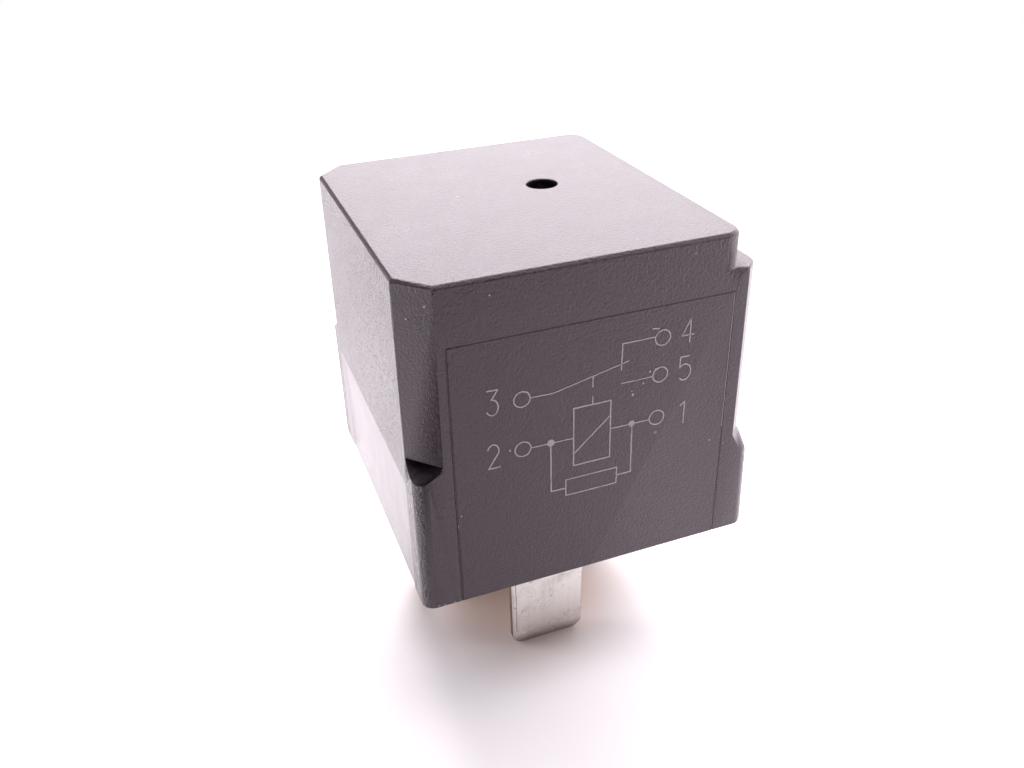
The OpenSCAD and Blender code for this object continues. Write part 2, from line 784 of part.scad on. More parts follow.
module yoke() color(iron) difference() {
    bend_r = 1;
    union() {
        translate([-yoke_w / 2, 0, 0]) rotate([90, 0, 90]) linear_extrude(yoke_w) {
            translate([foot_front, base_t]) square([yoke_back - bend_r - foot_front, yoke_t]);
            translate([yoke_front, base_t + bend_r]) square([yoke_t, pole_z - base_t - bend_r]);
            translate([yoke_back - bend_r, base_t + bend_r]) circle(bend_r);
        }
        for (side = [-1, 1]) {
            translate([side * (yoke_w - lug_w) / 2 - lug_w / 2, yoke_back - lug_d, pole_z - eps])
                cube([lug_w, lug_d, armature_t + eps]);
        }
    }
    translate([0, core_y, base_t - over]) cylinder(h = yoke_t + 2 * over, d = stub_d);
    for (side = [-1, 1]) {
        translate([side * rivet_pitch / 2, yoke_front - over, yoke_rivet_z]) rotate([-90, 0, 0])
            cylinder(h = yoke_t + 2 * over, d = rivet_d + 2 * rivet_fit);
    }
}

module armature() color(iron) at_rest() difference() {
    back = yoke_back - hinge_gap;
    bevel = 0.65;
    notch_w = lug_w + lug_fit;
    notch_d = lug_d + lug_fit;
    translate([-yoke_w / 2, 0, 0]) rotate([90, 0, 90]) linear_extrude(yoke_w)
        polygon([
            [armature_front, pole_z],
            [back, pole_z],
            [back, armature_top - bevel],
            [back - bevel, armature_top],
            [armature_front, armature_top]
        ]);
    for (side = [-1, 1]) {
        translate([side * (yoke_w / 2 - notch_w / 2 + over / 2) - (notch_w + over) / 2, yoke_back - notch_d, pole_z - over])
            cube([notch_w + over, notch_d + over, armature_t + 2 * over]);
        translate([side * rivet_pitch / 2, armature_rivet_y, pole_z - over])
            cylinder(h = armature_t + 2 * over, d = rivet_d + 2 * rivet_fit);
    }
}

// Leaf along the armature, in plan, with its narrower front end
module spring_plan() {
    tip = contact_y - contact_d / 2;
    neck = armature_front - neck_out;
    translate([-spring_w / 2, neck]) square([spring_w, loop_y - neck]);
    translate([-spring_tip_w / 2, tip]) square([spring_tip_w, neck - tip + eps]);
}

// Loop round the hinge and down to the foot that lies on the yoke, as a side view
module spring_side() {
    outer = loop_r + spring_t;
    centre_z = armature_top - loop_r;
    turn_y = loop_y + loop_r;
    foot_y = yoke_back;
    reach = turn_y - foot_y;
    back_z = centre_z - loop_drop;
    difference() {
        translate([loop_y, centre_z]) circle(outer);
        translate([loop_y, centre_z]) circle(loop_r);
        translate([loop_y - 2 * outer, centre_z - 2 * outer]) square([2 * outer, 4 * outer]);
        translate([loop_y - outer, centre_z - 2 * outer]) square([3 * outer, 2 * outer]);
    }
    polygon([
        [turn_y, centre_z + eps],
        [turn_y + spring_t, centre_z + eps],
        [turn_y + spring_t, centre_z],
        [foot_y + spring_t, back_z],
        [foot_y + spring_t, spring_foot_z],
        [foot_y, spring_foot_z],
        [foot_y, back_z],
        [turn_y, centre_z]
    ]);
}

module contact_spring() color([0.8, 0.55, 0.3]) {
    difference() {
        union() {
            at_rest() translate([0, 0, armature_top]) linear_extrude(spring_t) spring_plan();
            translate([-spring_w / 2, 0, 0]) rotate([90, 0, 90]) linear_extrude(spring_w) spring_side();
        }
        at_rest() {
            for (side = [-1, 1]) translate([side * rivet_pitch / 2, armature_rivet_y, armature_top - over])
                cylinder(h = spring_t + 2 * over, d = rivet_d + 2 * rivet_fit);
            translate([0, contact_y, armature_top - over])
                cylinder(h = spring_t + 2 * over, d = contact_shank_d + 2 * rivet_fit);
        }
        for (side = [-1, 1]) translate([side * rivet_pitch / 2, yoke_back - over, yoke_rivet_z]) rotate([-90, 0, 0])
            cylinder(h = spring_t + 2 * over, d = rivet_d + 2 * rivet_fit);
    }
}

// Rivet whose head stands up from z = 0 and whose shank goes down
module rivet(shank) {
    cylinder(h = rivet_head_h, d = rivet_head_d);
    translate([0, 0, -shank]) cylinder(h = shank + eps, d = rivet_d);
}

module armature_rivets() color(silver) at_rest() {
    for (side = [-1, 1]) translate([side * rivet_pitch / 2, armature_rivet_y, spring_top])
        rivet(armature_t + spring_t - rivet_fit);
}

module yoke_rivets() color(silver) {
    for (side = [-1, 1]) translate([side * rivet_pitch / 2, yoke_back + spring_t, yoke_rivet_z])
        rotate([-90, 0, 0]) rivet(yoke_t + spring_t);
}

// ---- Resistor ----

module resistor() color([0.3, 0.45, 0.6]) translate([0, resistor_y, resistor_z]) rotate([0, 90, 0]) {
    cap_len = 1.1;
    cap_out = 0.1;
    cylinder(h = resistor_len - 2 * cap_len, d = resistor_d - 2 * cap_out, center = true);
    for (side = [-1, 1]) translate([0, 0, side * (resistor_len - cap_len) / 2])
        cylinder(h = cap_len + eps, d = resistor_d, center = true);
}

module resistor_lead() {
    start = resistor_len / 2;
    turn = lead_bend + lead_d / 2;
    corner_x = coil_x - turn;
    end_y = coil_blade_y - post_w / 2;
    translate([start, resistor_y, resistor_z]) rotate([0, 90, 0]) cylinder(h = corner_x - start, d = lead_d);
    translate([corner_x, resistor_y + turn, resistor_z]) rotate([0, 0, -90]) rotate_extrude(angle = 90)
        translate([turn, 0]) circle(d = lead_d);
    translate([coil_x, resistor_y + turn, resistor_z]) rotate([-90, 0, 0])
        cylinder(h = end_y - resistor_y - turn, d = lead_d);
}

module resistor_leads() color(tin) for (side = [0, 1]) mirror([side, 0, 0]) resistor_lead();

// Solder round each coil post, where a tail of the winding and a resistor lead meet it
module solder_joints() color(silver) for (side = [0, 1]) mirror([side, 0, 0]) difference() {
    joint_r = 1;
    joint_in = 0.1;
    joint_front = 0.25;
    joint_z = (resistor_z + tail_z) / 2;
    translate([coil_x - joint_in, coil_blade_y - joint_front, joint_z]) sphere(joint_r);
    translate([coil_x - blade_t / 2, coil_blade_y - post_w / 2, base_t]) cube([blade_t, post_w, post_top]);
    translate([0, coil_blade_y, tail_z]) rotate([0, 90, 0]) cylinder(h = coil_x, d = tail_d);
    translate([coil_x, resistor_y, resistor_z]) rotate([-90, 0, 0]) cylinder(h = cover_d / 2, d = lead_d);
}

cover();
base();
terminal_1_coil();
terminal_2_coil();
terminal_3_common();
terminal_4_nc();
terminal_5_no();
bobbin();
coil_winding();
coil_tape();
core();
yoke();
armature();
contact_spring();
moving_contact();
nc_contact();
no_contact();
armature_rivets();
yoke_rivets();
resistor();
resistor_leads();
solder_joints();
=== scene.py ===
import math
import random

import bmesh
import bpy
from mathutils import Matrix, Quaternion, Vector


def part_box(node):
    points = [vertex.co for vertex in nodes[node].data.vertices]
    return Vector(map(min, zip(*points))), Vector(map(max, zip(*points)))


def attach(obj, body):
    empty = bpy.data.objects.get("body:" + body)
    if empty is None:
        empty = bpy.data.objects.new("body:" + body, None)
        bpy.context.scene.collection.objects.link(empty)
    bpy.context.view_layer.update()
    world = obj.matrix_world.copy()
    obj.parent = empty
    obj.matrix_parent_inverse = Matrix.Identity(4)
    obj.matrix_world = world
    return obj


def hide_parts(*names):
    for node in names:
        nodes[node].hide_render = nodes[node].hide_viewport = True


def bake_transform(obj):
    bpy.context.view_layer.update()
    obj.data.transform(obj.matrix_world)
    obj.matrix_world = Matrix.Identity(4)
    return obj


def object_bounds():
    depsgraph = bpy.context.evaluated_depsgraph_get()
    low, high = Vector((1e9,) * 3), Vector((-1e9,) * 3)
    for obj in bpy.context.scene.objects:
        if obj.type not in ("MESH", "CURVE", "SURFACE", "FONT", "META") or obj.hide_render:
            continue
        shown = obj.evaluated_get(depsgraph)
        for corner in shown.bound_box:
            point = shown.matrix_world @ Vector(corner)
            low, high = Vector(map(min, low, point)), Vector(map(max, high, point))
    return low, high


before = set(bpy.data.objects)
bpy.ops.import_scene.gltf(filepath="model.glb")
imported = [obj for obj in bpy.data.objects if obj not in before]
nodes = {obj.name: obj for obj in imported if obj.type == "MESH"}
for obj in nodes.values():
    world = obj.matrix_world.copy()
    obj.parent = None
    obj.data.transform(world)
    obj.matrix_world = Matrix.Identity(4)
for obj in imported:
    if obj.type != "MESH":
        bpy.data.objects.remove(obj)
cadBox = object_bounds()
mm = 0.001
print("frame loaded:", len(nodes), "nodes")


# camera

view = dict(
    place=(-22.07, -60.42, 45.92),   # mm
    forward=(0.2953, 0.8125, -0.5026),
    roll=-1.863,                     # degrees
    lens=32.85,                      # mm
    sensor=36,                       # mm
    nearest=2,                       # mm, nothing closer is drawn
)


def makeCamera():
    data = bpy.data.cameras.new("studioCamera")
    data.lens = view["lens"]
    data.sensor_width = view["sensor"]
    data.clip_start = view["nearest"] * mm
    camera = bpy.data.objects.new("studioCamera", data)
    bpy.context.scene.collection.objects.link(camera)
    camera.location = Vector(view["place"]) * mm
    level = Vector(view["forward"]).to_track_quat("-Z", "Y")
    camera.rotation_mode = "QUATERNION"
    camera.rotation_quaternion = level @ Quaternion((0, 0, 1), math.radians(view["roll"]))
    bpy.context.scene.camera = camera


makeCamera()
print("camera set")


# node helpers

def addNode(tree, kind, at, **settings):
    node = tree.nodes.new(kind)
    node.location = at
    for name, value in settings.items():
        setattr(node, name, value)
    return node


def setInputs(node, **values):
    for name, value in values.items():
        node.inputs[name.replace("_", " ")].default_value = value
    return node


def startMaterial(name):
    material = bpy.data.materials.new(name)
    material.use_nodes = True
    tree = material.node_tree
    shader = tree.nodes["Principled BSDF"]
    return material, tree, shader


def shade(colour, factor):
    # a colour made darker or lighter
    return tuple(min(1.0, channel * factor) for channel in colour)


def newGroup(name, inputs, outputs):
    # a group with number sockets: its inputs' names and values, and its outputs' names
    group = bpy.data.node_groups.new(name, "ShaderNodeTree")
    for label, value in inputs.items():
        socket = group.interface.new_socket(name=label, in_out="INPUT", socket_type="NodeSocketFloat")
        socket.default_value = value
    for label in outputs:
        group.interface.new_socket(name=label, in_out="OUTPUT", socket_type="NodeSocketFloat")
    source = addNode(group, "NodeGroupInput", (-900, 0))
    result = addNode(group, "NodeGroupOutput", (900, 0))
    return group, source, result


def placeGroup(tree, group, at, **values):
    node = addNode(tree, "ShaderNodeGroup", at, node_tree=group)
    return setInputs(node, **values)


def mathNode(tree, operation, at, first=None, second=None, third=None, clamp=False):
    node = addNode(tree, "ShaderNodeMath", at, operation=operation, use_clamp=clamp)
    for slot, value in enumerate((first, second, third)):
        if value is None:
            continue
        if isinstance(value, (int, float)):
            node.inputs[slot].default_value = value
        else:
            tree.links.new(value, node.inputs[slot])
    return node.outputs[0]


def mixColour(tree, at, factor, first, second, blend="MIX"):
    node = addNode(tree, "ShaderNodeMix", at, data_type="RGBA", blend_type=blend)
    for slot, value in ((0, factor), (6, first), (7, second)):
        if isinstance(value, tuple):
            node.inputs[slot].default_value = (*value, 1)
        elif isinstance(value, (int, float)):
            node.inputs[slot].default_value = value
        else:
            tree.links.new(value, node.inputs[slot])
    return node.outputs[2]


def ramp(tree, at, source, low, high, lowOut=0.0, highOut=1.0):
    node = addNode(tree, "ShaderNodeMapRange", at, interpolation_type="SMOOTHSTEP")
    setInputs(node, From_Min=low, From_Max=high, To_Min=lowOut, To_Max=highOut)
    tree.links.new(source, node.inputs["Value"])
    return node.outputs[0]


def objectPoint(tree, at, stretch=(1, 1, 1)):
    place = addNode(tree, "ShaderNodeTexCoord", at)
    spread = addNode(tree, "ShaderNodeMapping", (at[0] + 160, at[1]))
    spread.inputs["Scale"].default_value = stretch
    tree.links.new(place.outputs["Object"], spread.inputs["Vector"])
    return spread.outputs[0]


def noise(tree, at, point, scale, detail=2.0, rough=0.5, warp=0.0):
    node = addNode(tree, "ShaderNodeTexNoise", at)
    setInputs(node, Detail=detail, Roughness=rough, Distortion=warp)
    if isinstance(scale, (int, float)):
        node.inputs["Scale"].default_value = scale
    else:
        tree.links.new(scale, node.inputs["Scale"])
    tree.links.new(point, node.inputs["Vector"])
    return node.outputs["Fac"]


def addRelief(tree, shader, height, depth, strength=1.0):
    # a fine relief in the surface, its depth in mm
    bump = addNode(tree, "ShaderNodeBump", (-200, -400))
    setInputs(bump, Strength=strength, Distance=depth * mm)
    tree.links.new(height, bump.inputs["Height"])
    tree.links.new(bump.outputs[0], shader.inputs["Normal"])


def pitAndSpeck(tree, skin, rub, under, pits, pitShadeColour, specks, speckColour):
    # pits darkened as painted shade, and pale specks, over a colour
    inPits = mathNode(tree, "MULTIPLY", (-600, 100), skin.outputs["Pits"], pits)
    pitted = mixColour(tree, (-400, 300), inPits, under, pitShadeColour)
    onSpecks = mathNode(tree, "MULTIPLY", (-400, -100), rub.outputs["Specks"], specks)
    return mixColour(tree, (-200, 300), onSpecks, pitted, speckColour)


# shader groups that several materials share

def stretchPoint(group, source, point, axes):
    # a group's point, stretched along the axes by the group's own inputs
    stretch = addNode(group, "ShaderNodeCombineXYZ", (-900, -50))
    for axis in "XYZ":
        if axis in axes:
            group.links.new(source.outputs["Stretch " + axis], stretch.inputs[axis])
        else:
            stretch.inputs[axis].default_value = 1.0
    spread = addNode(group, "ShaderNodeVectorMath", (-700, 150), operation="MULTIPLY")
    group.links.new(point, spread.inputs[0])
    group.links.new(stretch.outputs[0], spread.inputs[1])
    return spread.outputs[0]


def makeSparkGrain():
    # the fine pitted skin that a spark-eroded mould leaves on plastic
    group, source, result = newGroup(
        "sparkGrain",
        {"Grain Scale": 6000.0, "Swell Scale": 2200.0, "Swell Share": 1.2, "Patch Scale": 420.0, "Stretch Y": 1.0},
        ("Height", "Pits", "Patch"))
    point = objectPoint(group, (-1100, 200))
    stretched = stretchPoint(group, source, point, "Y")
    fine = noise(group, (-500, 250), stretched, source.outputs["Grain Scale"], 2.0, 0.6)
    swell = noise(group, (-500, 0), point, source.outputs["Swell Scale"], 1.0, 0.5, 0.3)
    both = mathNode(group, "MULTIPLY_ADD", (-250, 150), swell, source.outputs["Swell Share"], fine)
    patch = noise(group, (-500, -250), point, source.outputs["Patch Scale"], 1.0, 0.5)
    group.links.new(both, result.inputs["Height"])
    group.links.new(ramp(group, (0, -50), fine, 0.45, 0.2), result.inputs["Pits"])
    group.links.new(ramp(group, (0, -250), patch, 0.3, 0.7), result.inputs["Patch"])
    return group


def makeScuffs():
    # sparse light rub marks and specks from handling
    group, source, result = newGroup(
        "scuffs", {"Speck Scale": 900.0, "Speck Share": 0.12, "Rub Scale": 160.0}, ("Specks", "Rubs"))
    point = objectPoint(group, (-900, 200))
    cells = addNode(group, "ShaderNodeTexVoronoi", (-500, 250), feature="F1")
    group.links.new(point, cells.inputs["Vector"])
    group.links.new(source.outputs["Speck Scale"], cells.inputs["Scale"])
    split = addNode(group, "ShaderNodeSeparateColor", (-300, 350))
    group.links.new(cells.outputs["Color"], split.inputs[0])
    chosen = mathNode(group, "LESS_THAN", (-100, 350), split.outputs[0], source.outputs["Speck Share"])
    core = ramp(group, (-100, 150), cells.outputs["Distance"], 0.16, 0.05)
    group.links.new(mathNode(group, "MULTIPLY", (100, 250), chosen, core), result.inputs["Specks"])
    wide = noise(group, (-500, -100), point, source.outputs["Rub Scale"], 2.0, 0.5, 0.4)
    group.links.new(ramp(group, (-100, -100), wide, 0.5, 0.8), result.inputs["Rubs"])
    return group


def makeStripMarks():
    # rolling lines along a metal strip, with cloudy tarnish over them
    group, source, result = newGroup(
        "stripMarks",
        {"Line Scale": 2600.0, "Cloud Scale": 260.0, "Stretch X": 1.0, "Stretch Y": 1.0, "Stretch Z": 0.03},
        ("Lines", "Clouds", "Spots"))
    place = addNode(group, "ShaderNodeTexCoord", (-900, 200))
    stretched = stretchPoint(group, source, place.outputs["Object"], "XYZ")
    lines = noise(group, (-450, 250), stretched, source.outputs["Line Scale"], 3.0, 0.6)
    clouds = noise(group, (-450, 0), place.outputs["Object"], source.outputs["Cloud Scale"], 5.0, 0.62, 0.8)
    fineScale = mathNode(group, "MULTIPLY", (-700, -250), source.outputs["Cloud Scale"], 7.0)
    spots = noise(group, (-450, -250), place.outputs["Object"], fineScale, 2.0, 0.5)
    group.links.new(ramp(group, (-100, 250), lines, 0.35, 0.65), result.inputs["Lines"])
    group.links.new(ramp(group, (-100, 0), clouds, 0.4, 0.68), result.inputs["Clouds"])
    group.links.new(ramp(group, (-100, -250), spots, 0.62, 0.72), result.inputs["Spots"])
    return group


def makeHeightBand():
    # a mask that fades between two heights of the object, its edge broken by noise
    group, source, result = newGroup(
        "heightBand", {"From": 0.0, "To": 0.001, "Ragged": 0.0006, "Noise Scale": 1800.0}, ("Mask",))
    place = addNode(group, "ShaderNodeTexCoord", (-900, 200))
    split = addNode(group, "ShaderNodeSeparateXYZ", (-700, 300))
    group.links.new(place.outputs["Object"], split.inputs[0])
    rough = noise(group, (-700, 0), place.outputs["Object"], source.outputs["Noise Scale"], 3.0, 0.6)
    centred = mathNode(group, "SUBTRACT", (-450, 0), rough, 0.5)
    shifted = mathNode(group, "MULTIPLY_ADD", (-250, 100), centred, source.outputs["Ragged"], split.outputs["Z"])
    band = addNode(group, "ShaderNodeMapRange", (0, 100), interpolation_type="SMOOTHSTEP")
    group.links.new(shifted, band.inputs["Value"])
    group.links.new(source.outputs["From"], band.inputs["From Min"])
    group.links.new(source.outputs["To"], band.inputs["From Max"])
    group.links.new(band.outputs[0], result.inputs["Mask"])
    return group


sparkGrain = makeSparkGrain()
scuffs = makeScuffs()
stripMarks = makeStripMarks()
heightBand = makeHeightBand()
print("shader groups made")


# floor, light and surroundings

studio = dict(
    floorRadius=0.3,                       # m
    floorColour=(0.86, 0.845, 0.855),
    floorRough=0.75, floorSpecular=0.25,
    underShadeColour=(0.50, 0.38, 0.325),        # painted shade and warm bounced light on the floor close under the part
    underShadeFull=0.003, underShadeReach=0.013,       # m, where the painted shade is full and where it ends
    lampColour=(1.0, 0.942, 0.982),
    worldStrength=0.015,                   # brightness of the surroundings
    backdrop=1.0,                          # brightness of the surroundings where they are seen
    distance=0.5,                          # m, from the part to each softbox
    # turn left from straight behind and height in degrees, size in m, power in W
    lamps={
        "highBack": (0, 50, 0.4, 3.8),
        "lowBack": (0, 20, 0.4, 1.5),
        "backRight": (315, 20, 0.4, 2.0),
        "left": (90, 20, 0.4, 0.57),
        "right": (270, 50, 0.4, 1.0),
        "above": (0, 89, 0.4, 1.3),
    },
    # small cards close to the part: place and size in m, power in W
    cards={
        "left": ((-0.05, 0.02, 0.012), 0.03, 0.017),
        "backLeft": ((-0.03, 0.05, 0.012), 0.03, 0.0045),
        "right": ((0.055, -0.03, 0.02), 0.03, 0.0145),
        "frontRight": ((0.06, -0.06, 0.012), 0.04, 0.003),
    },
)


def makeFloor():
    bm = bmesh.new()
    bmesh.ops.create_circle(bm, cap_ends=True, segments=96, radius=studio["floorRadius"])
    mesh = bpy.data.meshes.new("studioFloor")
    bm.to_mesh(mesh)
    bm.free()
    floor = bpy.data.objects.new("studioFloor", mesh)
    bpy.context.scene.collection.objects.link(floor)
    floor.location.z = cadBox[0][2]
    material, tree, shader = startMaterial("floorPaper")
    point = objectPoint(tree, (-1100, 200))
    away = addNode(tree, "ShaderNodeVectorMath", (-700, 200), operation="LENGTH")
    tree.links.new(point, away.inputs[0])
    # painted shade and warm bounce under the part, full near its middle and fading outwards
    near = ramp(tree, (-500, 200), away.outputs["Value"], studio["underShadeReach"], studio["underShadeFull"])
    colour = mixColour(tree, (-250, 200), near, studio["floorColour"], studio["underShadeColour"])
    tree.links.new(colour, shader.inputs["Base Color"])
    setInputs(shader, Roughness=studio["floorRough"], Specular_IOR_Level=studio["floorSpecular"])
    # the floor is clear from below, so that the underside can be looked at
    side = addNode(tree, "ShaderNodeNewGeometry", (-250, 500))
    clear = addNode(tree, "ShaderNodeBsdfTransparent", (-250, -250))
    both = addNode(tree, "ShaderNodeMixShader", (300, 300))
    tree.links.new(side.outputs["Backfacing"], both.inputs[0])
    tree.links.new(shader.outputs[0], both.inputs[1])
    tree.links.new(clear.outputs[0], both.inputs[2])
    tree.links.new(both.outputs[0], tree.nodes["Material Output"].inputs["Surface"])
    mesh.materials.append(material)


def softbox(name, power, size, place):
    data = bpy.data.lights.new(name, "AREA")
    data.shape = "SQUARE"
    data.size = size
    data.energy = power
    data.color = studio["lampColour"]
    light = bpy.data.objects.new(name, data)
    bpy.context.scene.collection.objects.link(light)
    light.location = place
    light.rotation_euler = (-Vector(place)).to_track_quat("-Z", "Y").to_euler()
    light.visible_camera = False


def makeStudio():
    world = bpy.data.worlds.new("studioWorld")
    bpy.context.scene.world = world
    world.use_nodes = True
    tree = world.node_tree
    background = tree.nodes["Background"]
    seen = addNode(tree, "ShaderNodeLightPath", (-500, 0))
    tint = mixColour(tree, (-250, 250), seen.outputs["Is Camera Ray"], studio["lampColour"], (1, 1, 1))
    tree.links.new(tint, background.inputs["Color"])
    strength = addNode(tree, "ShaderNodeMix", (-250, 0))
    tree.links.new(seen.outputs["Is Camera Ray"], strength.inputs[0])
    strength.inputs[2].default_value = studio["worldStrength"]
    strength.inputs[3].default_value = studio["backdrop"]
    tree.links.new(strength.outputs[0], background.inputs["Strength"])
    level = Vector(view["forward"])
    level.z = 0
    level.normalize()
    for name, (turn, height, size, power) in studio["lamps"].items():
        place = (Matrix.Rotation(math.radians(turn), 3, "Z") @ level) * math.cos(math.radians(height))
        place.z = math.sin(math.radians(height))
        softbox(name + "Softbox", power, size, place * studio["distance"])
    for name, (place, size, power) in studio["cards"].items():
        softbox(name + "Card", power, size, place)
    bpy.context.scene.view_settings.view_transform = "Standard"


makeFloor()
makeStudio()
print("studio set")


# mesh helpers

meshCare = dict(
    mergeWithin=0.002,         # mm
    flatWithin=0.05,           # degrees, less than this is one flat face
    gentleAngle=12,            # degrees, the least that an edge turns to be rounded
    crispAngle=25,             # degrees, the same on parts with fine facets
)


def newPiece(name, bm, materials, body, stands=()):
    mesh = bpy.data.meshes.new(name)
    bm.to_mesh(mesh)
    bm.free()
    for material in materials:
        mesh.materials.append(material)
    piece = bpy.data.objects.new(name, mesh)
    bpy.context.scene.collection.objects.link(piece)
    if body:
        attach(piece, body)
    if stands:
        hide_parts(*stands)
    return piece


def turnOutward(bm):
    bmesh.ops.recalc_face_normals(bm, faces=bm.faces)


def copyOf(node):
    # a clean copy of a node's mesh, its coplanar triangles joined
    bm = bmesh.new()
    bm.from_mesh(nodes[node].data)
    bmesh.ops.remove_doubles(bm, verts=bm.verts, dist=meshCare["mergeWithin"] * mm)
    bmesh.ops.dissolve_limit(bm, angle_limit=math.radians(meshCare["flatWithin"]), verts=bm.verts, edges=bm.edges)
    turnOutward(bm)
    return bm


def applyModifiers(piece):
    bpy.context.view_layer.update()
    graph = bpy.context.evaluated_depsgraph_get()
    mesh = bpy.data.meshes.new_from_object(piece.evaluated_get(graph))
    old = piece.data
    piece.modifiers.clear()
    piece.data = mesh
    mesh.name = old.name
    bpy.data.meshes.remove(old)


def chooseEdges(bm, test, leastAngle):
    # edges whose middle (in mm) and direction pass a test
    chosen = []
    for edge in bm.edges:
        if len(edge.link_faces) == 2 and edge.calc_face_angle(0) > math.radians(leastAngle):
            low, high = sorted((vert.co / mm for vert in edge.verts), key=lambda end: end.z)
            if test((low + high) / 2, (high - low).normalized()):
                chosen.append(edge)
    return chosen


def roundEdges(bm, width, segments=2, test=lambda middle, along: True, leastAngle=meshCare["gentleAngle"]):
    edges = chooseEdges(bm, test, leastAngle)
    if edges:
        bmesh.ops.bevel(bm, geom=edges, offset=width * mm, offset_type="OFFSET", segments=segments,
                        profile=0.5, affect="EDGES", clamp_overlap=False, loop_slide=True)


def joinRows(bm, rows, closed=False):
    # quads between rows of points, each row a closed loop
    count = len(rows[0])
    for here, there in zip(rows, rows[1:] + (rows[:1] if closed else [])):
        for k in range(count):
            bm.faces.new((here[k], there[k], there[(k + 1) % count], here[(k + 1) % count]))


def finishShading(piece, smooth=35):
    bm = bmesh.new()
    bm.from_mesh(piece.data)
    bmesh.ops.triangulate(bm, faces=[face for face in bm.faces if len(face.verts) > 4])
    bm.to_mesh(piece.data)
    bm.free()
    mesh = piece.data
    for polygon in mesh.polygons:
        polygon.use_smooth = True
    mesh.set_sharp_from_angle(angle=math.radians(smooth))
    weighted = piece.modifiers.new("weightedNormals", "WEIGHTED_NORMAL")
    weighted.keep_sharp = True
    applyModifiers(piece)


# cover

far = 99                                 # mm, well beyond the part

cover = dict(
    colour=(0.038, 0.021, 0.032),
    darkTone=0.98, lightTone=1.03,       # shares of the colour in the patches
    # the pits' darker colour is painted shade
    pitShadeTone=0.35, pitShadeStrength=0.6,
    speckColour=(0.30, 0.26, 0.28), speckShare=0.035, speckStrength=0.4,
    grainScale=10500.0, pebbleScale=8500.0,
    swellScale=5200.0, swellShare=0.8,
    grainDepth=0.042,                    # mm
    grainRough=0.38, pebbleRough=0.34, smoothRough=0.24,
    patchRough=0.02, pitRough=0.22, rubRough=-0.03,   # what each adds to the roughness
    pitMean=0.08,                        # what the pits add on average, taken off again
    specular=0.5,
    # edges to round: radius in mm, the way they run, and where their middles lie in mm;
    # y stands for both sides, vent for the distance from the vent's centre
    vent=(3.25, 1.45),
    rounds=dict(
        frontCorners=dict(radius=0.3, segments=3, run="up", x=(-far, -9), y=(12.9, far)),
        leftShoulder=dict(radius=0.12, segments=3, run="up", x=(-far, -11), y=(0, 11), z=(11.5, far)),
        lowRear=dict(radius=0.3, segments=3, run="up", x=(12.9, far), y=(11.8, far), z=(-far, 6)),
        waistInner=dict(radius=0.05, segments=2, run="up", x=(11.8, 12.2), y=(11.8, far), z=(8.4, 21.4)),
        waistOuter=dict(radius=0.35, segments=3, run="up", x=(12.9, far), y=(11.8, far), z=(8.4, 21.4)),
        topRim=dict(radius=0.07, segments=2, run="level", z=(23.6, far), vent=(2, far)),
        ledge=dict(radius=0.2, segments=3, run="level", x=(11.6, far), z=(21.4, 21.6)),
        flare=dict(radius=0.15, segments=2, run="across", x=(12.9, far), z=(6, 8.6)),
        ventRim=dict(radius=0.1, segments=2, run="any", z=(24, far), vent=(0, 1.3)),
    ),
    # the left panel's rear end in mm: its place in y, top, floor, the floor's slope, mouth, and how far it runs out
    panelRear=(10.2, 10.45), panelRearTop=9.2, panelFloor=-11.7, panelSlope=0.01, panelMouth=-11, panelRunOut=1.2,
    # the moulded insert in mm: half its width, its top, and the bottom of the parting line round it
    insertHalf=11.2, insertTop=20.2, partingFrom=(-12.95, -12.9), partingAt=-12.97,
    # where the smooth and pebbled finishes are, in mm
    sideFrom=11.93, sideHeights=(6.2, 21.6),
    panelFrom=-11.4, panelHalf=10.41, panelTop=9.06,
    # above the panel only the flat face is pebbled, beside it the rounded rim is too: how far they look left
    leftFrom=-10.5, rimTop=9.1, flatLook=-0.9, rimLook=-0.5,
)


def makeCoverPlastic(name, grain, depth, roughness, scale=cover["grainScale"], stretch=1.0):
    # grain is how much the pits show, in painted shade and roughness, depth how deep they are
    colour = cover["colour"]
    material, tree, shader = startMaterial(name)
    skin = placeGroup(tree, sparkGrain, (-900, 200), Grain_Scale=scale, Swell_Scale=cover["swellScale"],
                      Swell_Share=cover["swellShare"], Stretch_Y=stretch)
    rub = placeGroup(tree, scuffs, (-900, -200), Speck_Share=cover["speckShare"])
    patched = mixColour(tree, (-600, 300), skin.outputs["Patch"], shade(colour, cover["darkTone"]),
                        shade(colour, cover["lightTone"]))
    specked = pitAndSpeck(tree, skin, rub, patched, cover["pitShadeStrength"] * grain, shade(colour, cover["pitShadeTone"]),
                          cover["speckStrength"], cover["speckColour"])
    tree.links.new(specked, shader.inputs["Base Color"])
    least = roughness - cover["patchRough"] / 2 - cover["pitMean"] * grain
    spread = mathNode(tree, "MULTIPLY_ADD", (-750, -100), skin.outputs["Patch"], cover["patchRough"], least)
    glints = mathNode(tree, "MULTIPLY_ADD", (-600, -100), skin.outputs["Pits"], cover["pitRough"] * grain, spread)
    rubbed = mathNode(tree, "MULTIPLY_ADD", (-400, -250), rub.outputs["Rubs"], cover["rubRough"], glints)
    tree.links.new(rubbed, shader.inputs["Roughness"])
    shader.inputs["Specular IOR Level"].default_value = cover["specular"]
    addRelief(tree, shader, skin.outputs["Height"], cover["grainDepth"] * depth)
    return material


coverPlastic = makeCoverPlastic("coverPlastic", 1.0, 1.0, cover["grainRough"])
coverPolished = makeCoverPlastic("coverPolished", 0.12, 0.12, cover["smoothRough"])
# the left face: deeper relief and more painted shade in its pits
coverPebbled = makeCoverPlastic("coverPebbled", 2.2, 5.5, cover["pebbleRough"], cover["pebbleScale"], 0.5)


